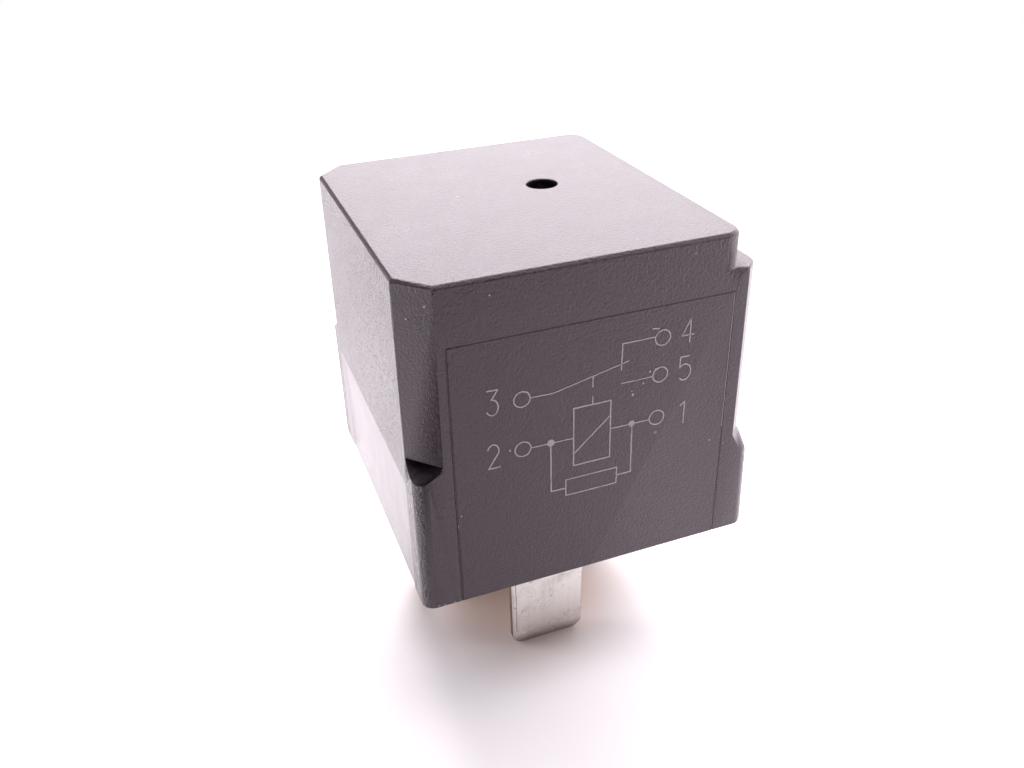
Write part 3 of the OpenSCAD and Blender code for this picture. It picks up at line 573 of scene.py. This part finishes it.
def roundCover(bm):
    # the insert's line and the seating edge stay sharp
    def belongs(limits, middle, along):
        runs = dict(up=abs(along.z) > 0.8, level=abs(along.z) < 0.3, across=abs(along.y) > 0.9, any=True)
        places = dict(x=middle.x, y=abs(middle.y), z=middle.z, vent=(middle.xy - Vector(cover["vent"])).length)
        return runs[limits["run"]] and all(limits[key][0] < value < limits[key][1]
                                           for key, value in places.items() if key in limits)

    for limits in cover["rounds"].values():
        roundEdges(bm, limits["radius"], limits["segments"], lambda middle, along: belongs(limits, middle, along))
    for vert in bm.verts:
        x, y, z = vert.co / mm
        # the recessed panel runs out softly at the rear
        if (cover["panelRear"][0] < y < cover["panelRear"][1] and z < cover["panelRearTop"]
                and cover["panelFloor"] + cover["panelSlope"] * z < x < cover["panelMouth"]):
            vert.co.y -= cover["panelRunOut"] * mm
        # the parting line round the moulded insert is shallow
        if (cover["partingFrom"][0] < y < cover["partingFrom"][1] and abs(x) < cover["insertHalf"]
                and z < cover["insertTop"]):
            vert.co.y = cover["partingAt"] * mm


def makeCover():
    bm = copyOf("cover")
    roundCover(bm)
    piece = newPiece("coverSkin", bm, [coverPlastic, coverPolished, coverPebbled], "case", ["cover"])
    finishShading(piece)
    for polygon in piece.data.polygons:
        x, y, z = polygon.center / mm
        outward = polygon.normal.x
        side = x > cover["sideFrom"] and outward > 0.1 and cover["sideHeights"][0] < z < cover["sideHeights"][1]
        panel = x < cover["panelFrom"] and z < cover["panelTop"] and abs(y) < cover["panelHalf"]
        left = x < cover["leftFrom"] and outward < cover["flatLook" if z > cover["rimTop"] else "rimLook"]
        polygon.material_index = 1 if side or panel else 2 if left else 0
    print("cover faces:", len(piece.data.polygons))


makeCover()
print("cover made")


# marking on the front face: a wiring diagram and plain terminal numbers

marking = dict(
    colour=(0.40, 0.355, 0.38),
    wornColour=(0.14, 0.115, 0.13),
    face=-13,              # mm, where the front face is
    line=0.085,            # mm, width of a stroke
    proud=0.012,           # mm, height of a stroke
    dotProud=0.0156,       # mm, height of a dot, so that it covers the strokes that meet in it
    step=0.16,             # mm between the points of a stroke
    shake=0.012,           # mm, how far a point strays
    uneven=0.12,           # share by which the width strays
    ring=0.56,             # mm, radius of a terminal's ring
    ringSteps=24,
    dotRagged=0.05, speckRagged=0.35,    # shares by which their rims stray
    numberWeight=1.05,     # width of the numbers' strokes against the diagram's
    highlightLine=0.035, scratchLine=0.045,   # mm
    seed=41,
)

# centres of the terminals' rings and the boxes of their numbers, in mm on the face
terminals = {
    3: ((-4.2, 15.3), (-6.6, 14.6, -5.75, 16.42)),
    2: ((-4.22, 11.5), (-6.68, 10.57, -5.8, 12.38)),
    4: ((5.75, 17.62), (7.15, 16.84, 8.08, 18.62)),
    5: ((5.7, 14.86), (7.1, 14.02, 8.06, 15.83)),
    1: ((5.6, 11.5), (7.4, 10.5, 7.78, 12.28)),
}

# the diagram's strokes, each a list of (x, z) points in mm, and their widths
strokes = {
    "contactArm": (((-3.62, 15.28), (-2.0, 15.25), (3.32, 16.42)), 0.85),
    "upperContact": (((5.17, 17.77), (2.82, 17.79), (2.79, 15.85)), 0.95),
    "lowerContact": (((5.12, 14.84), (2.8, 14.83)), 0.85),
    "linkUpper": (((0.75, 15.8), (0.75, 15.02)), 0.9),
    "linkLower": (((0.76, 14.38), (0.76, 13.77)), 0.9),
    "coil": (((-0.6, 9.2), (2.1, 9.2), (2.1, 13.73), (-0.6, 13.73), (-0.6, 9.2)), 1.1),
    "coilSlash": (((-0.54, 10.2), (2.08, 12.55)), 1.1),
    "coilLeft": (((-3.66, 11.46), (-0.62, 11.42)), 0.9),
    "coilRight": (((2.12, 11.48), (5.04, 11.45)), 0.9),
    "dropLeft": (((-2.25, 11.3), (-2.25, 7.5), (-1.16, 7.46)), 1.15),
    "resistorBox": (((-1.16, 6.85), (2.67, 6.85), (2.67, 8.16), (-1.16, 8.16), (-1.16, 6.85)), 1.05),
    "dropRight": (((2.67, 7.5), (3.76, 7.5), (3.73, 11.3)), 1.15),
    "tick": (((4.95, 18.42), (5.45, 18.34)), 1.0),
}
junctions = {"left": ((-2.25, 11.47), 0.27), "right": ((3.7, 11.48), 0.24)}

# light specks on the front: (x, z, radius) in mm
specks = (
    (-10.05, 22.93, 0.07), (-11.2, 22.37, 0.05), (-6.07, 22.9, 0.05), (10.01, 8.49, 0.05), (11.22, 7.91, 0.045),
    (3.7, 13.78, 0.1), (3.62, 14.05, 0.05), (4.48, 14.46, 0.07), (4.93, 15.24, 0.07), (5.36, 15.34, 0.08),
    (-5.14, 11.62, 0.07), (-10.75, 0.16, 0.07), (-10.3, 0.12, 0.06), (-9.6, 0.1, 0.05), (-8.7, 7.35, 0.06),
)
# lighter strokes beside the insert's parting line, a painted highlight along its edge: ends in mm
partingHighlight = (((10.93, 9.4), (10.95, 19.86)), ((-8.94, 6.4), (-8.94, 6.7)))
# short scratches on the cut corner: distance along the cut from its left edge and height in mm
cutScratches = (((1.05, 17.75), (1.2, 16.9)), ((1.32, 17.2), (1.36, 16.3)), ((0.62, 16.1), (0.9, 15.6)),
                ((1.5, 15.4), (1.42, 14.9)), ((0.55, 20.9), (0.72, 20.5)))


def arc(centre, size, start, end, count=14):
    # points along part of an ellipse, its angles in degrees
    turns = [math.radians(start + (end - start) * i / count) for i in range(count + 1)]
    return [(centre[0] + size[0] * math.cos(turn), centre[1] + size[1] * math.sin(turn)) for turn in turns]


# each number's strokes in a box one wide and one high
numberStrokes = {
    1: [[(0.0, 0.84), (0.86, 1.0), (0.86, 0.0)]],
    2: [arc((0.47, 0.73), (0.44, 0.27), 165, -32) + [(0.04, 0.0), (1.0, 0.0)]],
    3: [[(0.06, 1.0), (0.94, 1.0), (0.42, 0.62)] + arc((0.45, 0.31), (0.48, 0.31), 88, -155)],
    4: [[(0.68, 1.0), (0.0, 0.33), (1.0, 0.33)], [(0.68, 1.0), (0.68, 0.0)]],
    5: [[(0.8, 1.0), (0.1, 1.0), (0.06, 0.56)] + arc((0.47, 0.34), (0.5, 0.34), 128, -140)],
}


def resample(points, step):
    # points a short step apart along a line
    out = [Vector(points[0])]
    for a, b in zip(points, points[1:]):
        a, b = Vector(a), Vector(b)
        count = max(1, round((b - a).length / step))
        out += [a.lerp(b, i / count) for i in range(1, count + 1)]
    return out


def onFront(across, up, out):
    return (across * mm, (marking["face"] - out) * mm, up * mm)


def onCut(across, up, out):
    # on the cut corner, which runs from the left face to the front
    left, right = Vector((-11.4, -10.85)), Vector((-9.55, -13.0))
    along = (right - left).normalized()
    at = left + along * across + Vector((along.y, -along.x)) * out
    return (at.x * mm, at.y * mm, up * mm)


def addStroke(bm, points, width, chance, closed=False, surface=onFront):
    # a thin raised ribbon along the points, its edges a little uneven
    line = resample(points, marking["step"])
    if closed:
        line.pop()
    rows = []
    front, back = marking["proud"], -marking["proud"]
    for i, here in enumerate(line):
        before = line[i - 1] if i or closed else here
        after = line[(i + 1) % len(line)] if i + 1 < len(line) or closed else here
        along = (after - before).normalized()
        side = Vector((-along.y, along.x))
        bend = (here - before).normalized().dot((after - here).normalized()) if before != here != after else 1
        # wider at a bend, so that the ribbon keeps its width
        half = width / 2 * (1 + chance.uniform(-marking["uneven"], marking["uneven"]))
        half /= max(0.6, math.sqrt(max(0.1, (1 + bend) / 2)))
        middle = here + side * chance.uniform(-1, 1) * marking["shake"]
        rows.append([bm.verts.new(surface(at.x, at.y, out))
                     for at, out in ((middle - side * half, front), (middle + side * half, front),
                                     (middle + side * half, back), (middle - side * half, back))])
    pairs = list(zip(rows, rows[1:])) + ([(rows[-1], rows[0])] if closed else [])
    for first, second in pairs:
        for k in range(4):
            bm.faces.new((first[k], first[(k + 1) % 4], second[(k + 1) % 4], second[k]))
    if not closed:
        bm.faces.new(rows[0][::-1])
        bm.faces.new(rows[-1])


def addSpot(bm, centre, radius, chance, rough, count=14):
    # a small raised disc with a ragged rim
    rim = []
    for i in range(count):
        turn = 2 * math.pi * i / count
        reach = radius * (1 + chance.uniform(-rough, rough))
        rim.append((centre[0] + reach * math.cos(turn), centre[1] + reach * math.sin(turn)))
    front = [bm.verts.new(onFront(x, z, marking["dotProud"])) for x, z in rim]
    back = [bm.verts.new(onFront(x, z, -marking["proud"])) for x, z in rim]
    bm.faces.new(front)
    bm.faces.new(back[::-1])
    for i in range(count):
        bm.faces.new((front[i], back[i], back[(i + 1) % count], front[(i + 1) % count]))


def makeInk():
    material, tree, shader = startMaterial("laserMark")
    rub = placeGroup(tree, scuffs, (-900, 0), Rub_Scale=900.0)
    point = objectPoint(tree, (-1100, 300))
    fine = noise(tree, (-700, 300), point, 9000.0, 3.0, 0.6)
    faint = mathNode(tree, "MULTIPLY", (-600, 250), fine, 0.45)
    worn = mathNode(tree, "MULTIPLY_ADD", (-500, 100), rub.outputs["Rubs"], 0.6, faint)
    inked = mixColour(tree, (-250, 200), worn, marking["colour"], marking["wornColour"])
    tree.links.new(inked, shader.inputs["Base Color"])
    tree.links.new(ramp(tree, (-250, -100), fine, 0.2, 0.8, 0.5, 0.7), shader.inputs["Roughness"])
    return material


laserMark = makeInk()


def makeMarking():
    chance = random.Random(marking["seed"])
    line = marking["line"]
    bm = bmesh.new()
    for points, share in strokes.values():
        addStroke(bm, points, line * share, chance)
    for centre, radius in junctions.values():
        addSpot(bm, centre, radius, chance, marking["dotRagged"])
    for number, (centre, (left, low, right, high)) in terminals.items():
        ring = arc(centre, (marking["ring"], marking["ring"]), 0, 360, marking["ringSteps"])
        addStroke(bm, ring, line, chance, closed=True)
        for stroke in numberStrokes[number]:
            points = [(left + (right - left) * u, low + (high - low) * v) for u, v in stroke]
            addStroke(bm, points, line * marking["numberWeight"], chance)
    for x, z, radius in specks:
        addSpot(bm, (x, z), radius, chance, marking["speckRagged"])
    # painted highlight along the parting line's edge
    for ends in partingHighlight:
        addStroke(bm, ends, marking["highlightLine"], chance)
    for ends in cutScratches:
        addStroke(bm, ends, marking["scratchLine"], chance, surface=onCut)
    turnOutward(bm)
    newPiece("frontMarking", bm, [laserMark], "case")


makeMarking()
print("front marking made")


# blades and terminals

blade = dict(
    colour=(0.80, 0.765, 0.735),
    shearColour=(0.24, 0.18, 0.10),
    wearColour=(0.24, 0.19, 0.16),
    dirtAndShadeColour=(0.16, 0.12, 0.09),
    tipFrom=-11.4, tipTo=-12.9,      # mm, where the tips' darkening, partly dirt and partly painted shade, starts and is full
    tipDirtAndShade=0.72, spotDirt=0.3,      # shares of the dirt-and-shade colour
    rough=0.24,
    relief=0.004,                    # mm, of the rolling lines
    edge=0.04,                       # mm
    face=-6.7,                       # mm, where the front blade's face is
    scratchLine=0.05,                # mm
    seed=7,
)

# marks that a socket left on the front blade: ends in mm
bladeScratches = (
    ((-2.8, -0.3), (-2.8, -11.2)), ((-1.55, -2.3), (-1.2, -2.25)), ((-1.5, -3.1), (-1.5, -3.9)),
    ((-1.25, -3.2), (-1.2, -3.7)), ((-1.55, -4.5), (-1.15, -4.45)), ((-1.3, -5.2), (-1.3, -5.9)),
    ((-1.6, -6.2), (-1.3, -6.2)), ((2.5, -2.0), (2.5, -2.6)), ((2.55, -3.2), (2.5, -3.9)),
    ((2.45, -5.0), (2.5, -5.4)),
)


def placeMarks(tree, stretch, lines=2600.0):
    return placeGroup(tree, stripMarks, (-900, 200), Line_Scale=lines, Stretch_X=stretch[0], Stretch_Y=stretch[1],
                      Stretch_Z=stretch[2])


def finishStrip(tree, shader, marks, colours, spotted, rough, leastMetallic):
    # strip metal: rolling lines, cloudy tarnish and spots; the colours are bright, dull, line and spot
    bright, dull, line, spot = colours
    clouded = mixColour(tree, (-600, 300), marks.outputs["Clouds"], bright, dull)
    faint = mathNode(tree, "MULTIPLY", (-600, 50), marks.outputs["Lines"], 0.35)
    lined = mixColour(tree, (-400, 300), faint, clouded, line)
    tree.links.new(mixColour(tree, (-200, 300), spotted, lined, spot), shader.inputs["Base Color"])
    spread = mathNode(tree, "MULTIPLY_ADD", (-400, -150), marks.outputs["Clouds"], 0.16, rough)
    tarnished = mathNode(tree, "MULTIPLY_ADD", (-200, -150), spotted, 0.3, spread, clamp=True)
    tree.links.new(tarnished, shader.inputs["Roughness"])
    tree.links.new(ramp(tree, (-200, 50), spotted, 0.0, 1.0, 1.0, leastMetallic), shader.inputs["Metallic"])


def makeTin(name, colour, stretch):
    # tinned or worn brass that gets darker towards the blades' tips, partly dirt and partly painted shade
    material, tree, shader = startMaterial(name)
    marks = placeMarks(tree, stretch)
    tip = placeGroup(tree, heightBand, (-900, -200), From=blade["tipFrom"] * mm, To=blade["tipTo"] * mm)
    # darker towards the tips: dirt, and painted shade of the tips' rounding
    dirtAndShadeMask = mathNode(tree, "MULTIPLY", (-400, 0), tip.outputs["Mask"], blade["tipDirtAndShade"])
    spotted = mathNode(tree, "MULTIPLY_ADD", (-250, 0), marks.outputs["Spots"], blade["spotDirt"], dirtAndShadeMask, clamp=True)
    colours = (colour, shade(colour, 0.76), shade(colour, 1.14), blade["dirtAndShadeColour"])
    finishStrip(tree, shader, marks, colours, spotted, blade["rough"], 0.4)
    addRelief(tree, shader, marks.outputs["Lines"], blade["relief"], 0.5)
    return material


tinnedBrass = makeTin("tinnedBrass", blade["colour"], (1, 1, 0.03))
shearedBrass = makeTin("shearedBrass", blade["shearColour"], (1, 1, 0.2))
contactWear = makeTin("contactWear", blade["wearColour"], (1, 1, 0.1))


def makeTerminals():
    for node, across in (("terminal_1_coil", "y"), ("terminal_2_coil", "y"), ("terminal_3_common", "x"),
                         ("terminal_4_nc", "x"), ("terminal_5_no", "x")):
        bm = copyOf(node)
        roundEdges(bm, blade["edge"])
        bm.normal_update()
        for face in bm.faces:
            # the blades' narrow sides and ends, where the stamping sheared through the plating
            middle = face.calc_center_median()
            if middle.z < 0 and max(abs(getattr(face.normal, across)), abs(face.normal.z)) > 0.8:
                face.material_index = 1
        piece = newPiece(node + "_tinned", bm, [tinnedBrass, shearedBrass], "case", [node])
        finishShading(piece)


def onBlade(across, up, out):
    return (across * mm, (blade["face"] - out) * mm, up * mm)


def makeBladeScratches():
    chance = random.Random(blade["seed"])
    bm = bmesh.new()
    for ends in bladeScratches:
        addStroke(bm, ends, blade["scratchLine"], chance, surface=onBlade)
    turnOutward(bm)
    newPiece("bladeScratches", bm, [contactWear], "case")


makeTerminals()
makeBladeScratches()
print("terminals made")


# base

base = dict(
    colour=(0.030, 0.027, 0.029),
    rough=0.45,
    edge=0.06,             # mm
    grainDepth=0.03,       # mm
    grainScale=3000.0, swellScale=750.0,
    speckColour=(0.36, 0.33, 0.31),
)


def makeMoulded(name, colour, roughness, depth, flowStretch):
    # moulded plastic with faint flow clouds, fine pitting with painted shade in its pits, and a few rubs
    material, tree, shader = startMaterial(name)
    skin = placeGroup(tree, sparkGrain, (-900, 200), Grain_Scale=base["grainScale"],
                      Swell_Scale=base["swellScale"], Swell_Share=0.6)
    rub = placeGroup(tree, scuffs, (-900, -200), Speck_Share=0.06, Rub_Scale=220.0)
    flow = noise(tree, (-900, 500), objectPoint(tree, (-1200, 500), flowStretch), 180.0, 4.0, 0.6, 1.5)
    clouds = ramp(tree, (-750, 500), flow, 0.3, 0.7)
    flowed = mixColour(tree, (-600, 400), clouds, shade(colour, 0.75), shade(colour, 1.3))
    # the pits' darker colour is painted shade
    specked = pitAndSpeck(tree, skin, rub, flowed, 0.5, shade(colour, 0.5), 0.4, base["speckColour"])
    tree.links.new(specked, shader.inputs["Base Color"])
    spread = mathNode(tree, "MULTIPLY_ADD", (-600, -100), skin.outputs["Patch"], 0.12, roughness - 0.06)
    rubbed = mathNode(tree, "MULTIPLY_ADD", (-400, -250), rub.outputs["Rubs"], -0.12, spread, clamp=True)
    tree.links.new(rubbed, shader.inputs["Roughness"])
    addRelief(tree, shader, skin.outputs["Height"], depth)
    return material


def bevelledCopy(node, width, material, body, suffix, segments=2):
    bm = copyOf(node)
    roundEdges(bm, width, segments, leastAngle=meshCare["crispAngle"])
    piece = newPiece(node + suffix, bm, [material], body, [node])
    finishShading(piece)


basePlastic = makeMoulded("basePlastic", base["colour"], base["rough"], base["grainDepth"], (1, 0.4, 1))
bevelledCopy("base", base["edge"], basePlastic, "case", "Moulding")
print("base made")


# metals of the magnet, contacts and leads

metal = dict(
    magnetIron=dict(colour=(0.56, 0.555, 0.55), dull=(0.40, 0.385, 0.37), spot=(0.20, 0.15, 0.11), rough=0.28,
                    stretch=(0.05, 1, 1), relief=0.004),
    springBronze=dict(colour=(0.78, 0.50, 0.27), dull=(0.60, 0.33, 0.17), spot=(0.30, 0.14, 0.08), rough=0.22,
                      stretch=(1, 0.04, 0.04)),
    contactSilver=dict(colour=(0.90, 0.89, 0.86), dull=(0.72, 0.68, 0.60), spot=(0.22, 0.19, 0.17), rough=0.30,
                       lines=4200.0),
    rivetSteel=dict(colour=(0.66, 0.66, 0.67), dull=(0.50, 0.49, 0.48), spot=(0.24, 0.19, 0.15), rough=0.25,
                    lines=3400.0),
    tinnedWire=dict(colour=(0.80, 0.79, 0.77), dull=(0.62, 0.60, 0.57), spot=(0.34, 0.31, 0.28), rough=0.22,
                    stretch=(0.05, 0.05, 1)),
    solderMetal=dict(colour=(0.82, 0.82, 0.83), dull=(0.60, 0.60, 0.61), spot=(0.42, 0.30, 0.14), rough=0.16,
                     lines=1500.0, relief=0.008),
)
stampedEdge = 0.08     # mm, on the iron parts


def makeMetal(name, colour, dull, spot, rough, stretch=(1, 1, 1), lines=2600.0, relief=0.003):
    # the relief is in mm
    material, tree, shader = startMaterial(name)
    marks = placeMarks(tree, stretch, lines)
    spotted = mathNode(tree, "MULTIPLY", (-400, 50), marks.outputs["Spots"], 0.55)
    finishStrip(tree, shader, marks, (colour, dull, shade(colour, 1.15), spot), spotted, rough - 0.04, 0.5)
    addRelief(tree, shader, marks.outputs["Lines"], relief, 0.6)
    return material


metals = {name: makeMetal(name, **values) for name, values in metal.items()}


def finishNode(node, material):
    # the node's own object keeps its shape and takes the material
    piece = nodes[node]
    for slot in piece.material_slots:
        slot.material = material


for node in ("core", "yoke"):
    bevelledCopy(node, stampedEdge, metals["magnetIron"], "case", "Iron")
bevelledCopy("armature", stampedEdge, metals["magnetIron"], "armature_group", "Iron")
for name, finished in (("contactSilver", ("no_contact", "nc_contact", "moving_contact")),
                       ("rivetSteel", ("armature_rivets", "yoke_rivets")),
                       ("tinnedWire", ("resistor_leads",)), ("solderMetal", ("solder_joints",))):
    for node in finished:
        finishNode(node, metals[name])
print("iron parts, contacts and leads made")


# contact spring, rounded and with its long edges cut

spring = dict(
    edge=0.03, leastAngle=50,                         # mm and degrees
    longest=1.5, cuts=3,                              # edges longer than this in mm are cut into shorter ones
    bendFrom=(0, 9.9, 16.6), bendTo=(0, 7.9, 19.1),   # mm, where the loop gives
)


def makeSpring():
    bm = copyOf("contact_spring")
    roundEdges(bm, spring["edge"], 1, leastAngle=spring["leastAngle"])
    long = [edge for edge in bm.edges if edge.calc_length() > spring["longest"] * mm]
    bmesh.ops.subdivide_edges(bm, edges=long, cuts=spring["cuts"], use_grid_fill=True)
    piece = newPiece("contactSpring", bm, [metals["springBronze"]], None, ["contact_spring"])
    finishShading(piece, smooth=40)
    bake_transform(piece)


makeSpring()
print("contact spring made")


# bobbin, winding and tape

coil = dict(
    bobbinColour=(0.29, 0.055, 0.03), bobbinRough=0.34,
    bobbinGrain=0.015,     # mm
    edge=0.07,             # mm
    copper=(0.62, 0.25, 0.10), copperDark=(0.33, 0.10, 0.035), copperBright=(0.75, 0.36, 0.16),
    wire=0.14,             # mm, the enamelled wire's diameter
    wireSides=6, turnSteps=72,
    underTape=0.2,         # mm, how far the outermost turns go on under the tape
    tapeColour=(0.55, 0.36, 0.075), tapePale=(0.68, 0.47, 0.13), tapeShadow=(0.40, 0.21, 0.05),
    tapeSeam=40,           # degrees round from the front, where the tape ends
    endColumns=25, endStep=3.0,          # the free end's columns of points and the degrees between them
    endLift=0.05, endRagged=0.03, endInset=0.25, endSunk=0.02,     # mm
)

bobbinPlastic = makeMoulded("bobbinPlastic", coil["bobbinColour"], coil["bobbinRough"], coil["bobbinGrain"],
                            (1, 1, 0.3))
bevelledCopy("bobbin", coil["edge"], bobbinPlastic, "case", "Moulding")


def makeEnamel():
    material, tree, shader = startMaterial("enamelledCopper")
    turns = noise(tree, (-600, 250), objectPoint(tree, (-900, 200), (1, 1, 12)), 700.0, 3.0, 0.6)
    patches = noise(tree, (-600, -50), objectPoint(tree, (-900, -100)), 350.0, 4.0, 0.6)
    wound = mixColour(tree, (-300, 250), ramp(tree, (-450, 250), turns, 0.35, 0.65), coil["copperDark"], coil["copper"])
    bright = ramp(tree, (-450, 0), patches, 0.55, 0.75, 0, 0.5)
    tree.links.new(mixColour(tree, (-150, 250), bright, wound, coil["copperBright"]), shader.inputs["Base Color"])
    tree.links.new(ramp(tree, (-300, -100), patches, 0.2, 0.8, 0.22, 0.42), shader.inputs["Roughness"])
    tree.links.new(ramp(tree, (-300, 50), patches, 0.2, 0.8, 0.95, 0.8), shader.inputs["Metallic"])
    setInputs(shader, Coat_Weight=0.6, Coat_Roughness=0.18)
    addRelief(tree, shader, turns, 0.004, 0.5)
    return material


def makeTapeFilm():
    material, tree, shader = startMaterial("coilTapeFilm")
    point = objectPoint(tree, (-900, 200))
    wrinkle = noise(tree, (-600, 250), point, 260.0, 3.0, 0.55, 1.8)
    # the turns show through the film as ridges
    ridges = addNode(tree, "ShaderNodeTexWave", (-600, -50), wave_type="BANDS", bands_direction="Z")
    setInputs(ridges, Scale=1000.0 / (2 * coil["wire"]) / 3.2, Distortion=1.2, Detail=2.0)
    tree.links.new(point, ridges.inputs["Vector"])
    pale = ramp(tree, (-450, 250), wrinkle, 0.3, 0.7)
    tone = mixColour(tree, (-300, 250), pale, coil["tapeColour"], coil["tapePale"])
    dark = mathNode(tree, "MULTIPLY", (-300, 50), ridges.outputs["Fac"], 0.25)
    tree.links.new(mixColour(tree, (-150, 250), dark, tone, coil["tapeShadow"]), shader.inputs["Base Color"])
    tree.links.new(ramp(tree, (-300, -100), wrinkle, 0.2, 0.8, 0.16, 0.34), shader.inputs["Roughness"])
    height = mathNode(tree, "MULTIPLY_ADD", (-300, -250), ridges.outputs["Fac"], 0.3, wrinkle)
    addRelief(tree, shader, height, 0.03, 0.7)
    return material


enamelledCopper = makeEnamel()
coilTapeFilm = makeTapeFilm()
finishNode("coil_winding", enamelledCopper)
finishNode("coil_tape", coilTapeFilm)


def makeTurns():
    # the outermost layer of wire, seen above and below the tape
    low, high = (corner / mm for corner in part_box("coil_tape"))
    windingLow, windingHigh = (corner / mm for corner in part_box("coil_winding"))
    middle = (windingLow.y + windingHigh.y) / 2
    reach = (windingHigh.y - windingLow.y) / 2
    wire, steps, under = coil["wire"], coil["turnSteps"], coil["underTape"]
    section = [(wire / 2 * math.cos(2 * math.pi * k / coil["wireSides"]),
                wire / 2 * math.sin(2 * math.pi * k / coil["wireSides"])) for k in range(coil["wireSides"])]
    bm = bmesh.new()
    for turn in range(int((windingHigh.z - windingLow.z - wire) / wire) + 1):
        z = windingLow.z + wire / 2 + turn * wire
        if low.z + under < z < high.z - under:
            continue
        rings = []
        for i in range(steps):
            out = Vector((math.cos(2 * math.pi * i / steps), math.sin(2 * math.pi * i / steps)))
            rings.append([bm.verts.new((out.x * (reach + outward) * mm, (middle + out.y * (reach + outward)) * mm,
                                        (z + up) * mm)) for outward, up in section])
        joinRows(bm, rings, closed=True)
    turnOutward(bm)
    finishShading(newPiece("coilTurns", bm, [enamelledCopper], "case"), smooth=80)


def makeTapeEnd():
    # the tape's free end, which laps over its first turn
    low, high = (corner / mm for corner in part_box("coil_tape"))
    middle = (low.y + high.y) / 2
    reach = (high.y - low.y) / 2
    bm = bmesh.new()
    columns = []
    for i in range(coil["endColumns"]):
        angle = math.radians(-90 - coil["tapeSeam"] + i * coil["endStep"])
        lift = coil["endLift"] * min(1.0, i / 3)
        bottom = low.z + coil["endInset"] + coil["endRagged"] * math.sin(i * 2.1)
        top = high.z - coil["endInset"]
        section = ((lift, bottom), (lift, top), (-coil["endSunk"], top), (-coil["endSunk"], bottom))
        columns.append([bm.verts.new((math.cos(angle) * (reach + out) * mm,
                                      (middle + math.sin(angle) * (reach + out)) * mm, z * mm)) for out, z in section])
    joinRows(bm, columns)
    bm.faces.new(columns[0][::-1])
    bm.faces.new(columns[-1])
    turnOutward(bm)
    finishShading(newPiece("coilTapeEnd", bm, [coilTapeFilm], "case"), smooth=40)


makeTurns()
makeTapeEnd()
print("coil made")


# resistor with plain bands

resistor = dict(
    colour=(0.075, 0.17, 0.29),
    edge=0.12,             # mm
    waist=0.1,             # mm, how much slimmer the body is between its ends
    bandSteps=64,
    # a band's section: shares of its width, and height over the body in mm
    bandSection=((-0.5, -0.02), (-0.46, 0.025), (0.46, 0.025), (0.5, -0.02)),
    # bands: place along the body and width in mm, and colour
    bands=((-2.05, 0.42, (0.012, 0.03, 0.22)), (-1.15, 0.42, (0.22, 0.22, 0.22)), (-0.25, 0.42, (0.085, 0.03, 0.012)),
           (1.75, 0.42, (0.50, 0.33, 0.09))),
)


def makeLacquer(name, colour):
    material, tree, shader = startMaterial(name)
    point = objectPoint(tree, (-900, 200))
    flow = noise(tree, (-600, 250), point, 420.0, 4.0, 0.6)
    fine = noise(tree, (-600, -50), point, 5200.0, 2.0, 0.5)
    clouds = ramp(tree, (-420, 250), flow, 0.3, 0.7)
    flowed = mixColour(tree, (-250, 250), clouds, shade(colour, 0.75), shade(colour, 1.2))
    tree.links.new(flowed, shader.inputs["Base Color"])
    tree.links.new(ramp(tree, (-250, 0), flow, 0.2, 0.8, 0.18, 0.32), shader.inputs["Roughness"])
    addRelief(tree, shader, mathNode(tree, "MULTIPLY_ADD", (-420, -150), fine, 0.3, flow), 0.01, 0.5)
    return material


resistorLacquer = makeLacquer("resistorLacquer", resistor["colour"])
bevelledCopy("resistor", resistor["edge"], resistorLacquer, "case", "Body", segments=3)


def makeBands():
    low, high = (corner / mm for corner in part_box("resistor"))
    middle = (low + high) / 2
    reach = (high.z - low.z) / 2 - resistor["waist"]
    turns = [2 * math.pi * i / resistor["bandSteps"] for i in range(resistor["bandSteps"])]
    bm = bmesh.new()
    paints = []
    for place, width, colour in resistor["bands"]:
        before = len(bm.faces)
        rows = [[bm.verts.new(((middle.x + place + share * width) * mm,
                               (middle.y + (reach + out) * math.cos(turn)) * mm,
                               (middle.z + (reach + out) * math.sin(turn)) * mm)) for turn in turns]
                for share, out in resistor["bandSection"]]
        joinRows(bm, rows, closed=True)
        bm.faces.ensure_lookup_table()
        for face in bm.faces[before:]:
            face.material_index = len(paints)
        paints.append(makeLacquer("bandPaint%d" % (len(paints) + 1), colour))
    turnOutward(bm)
    finishShading(newPiece("resistorBands", bm, paints, "case"), smooth=50)


makeBands()
print("resistor made")
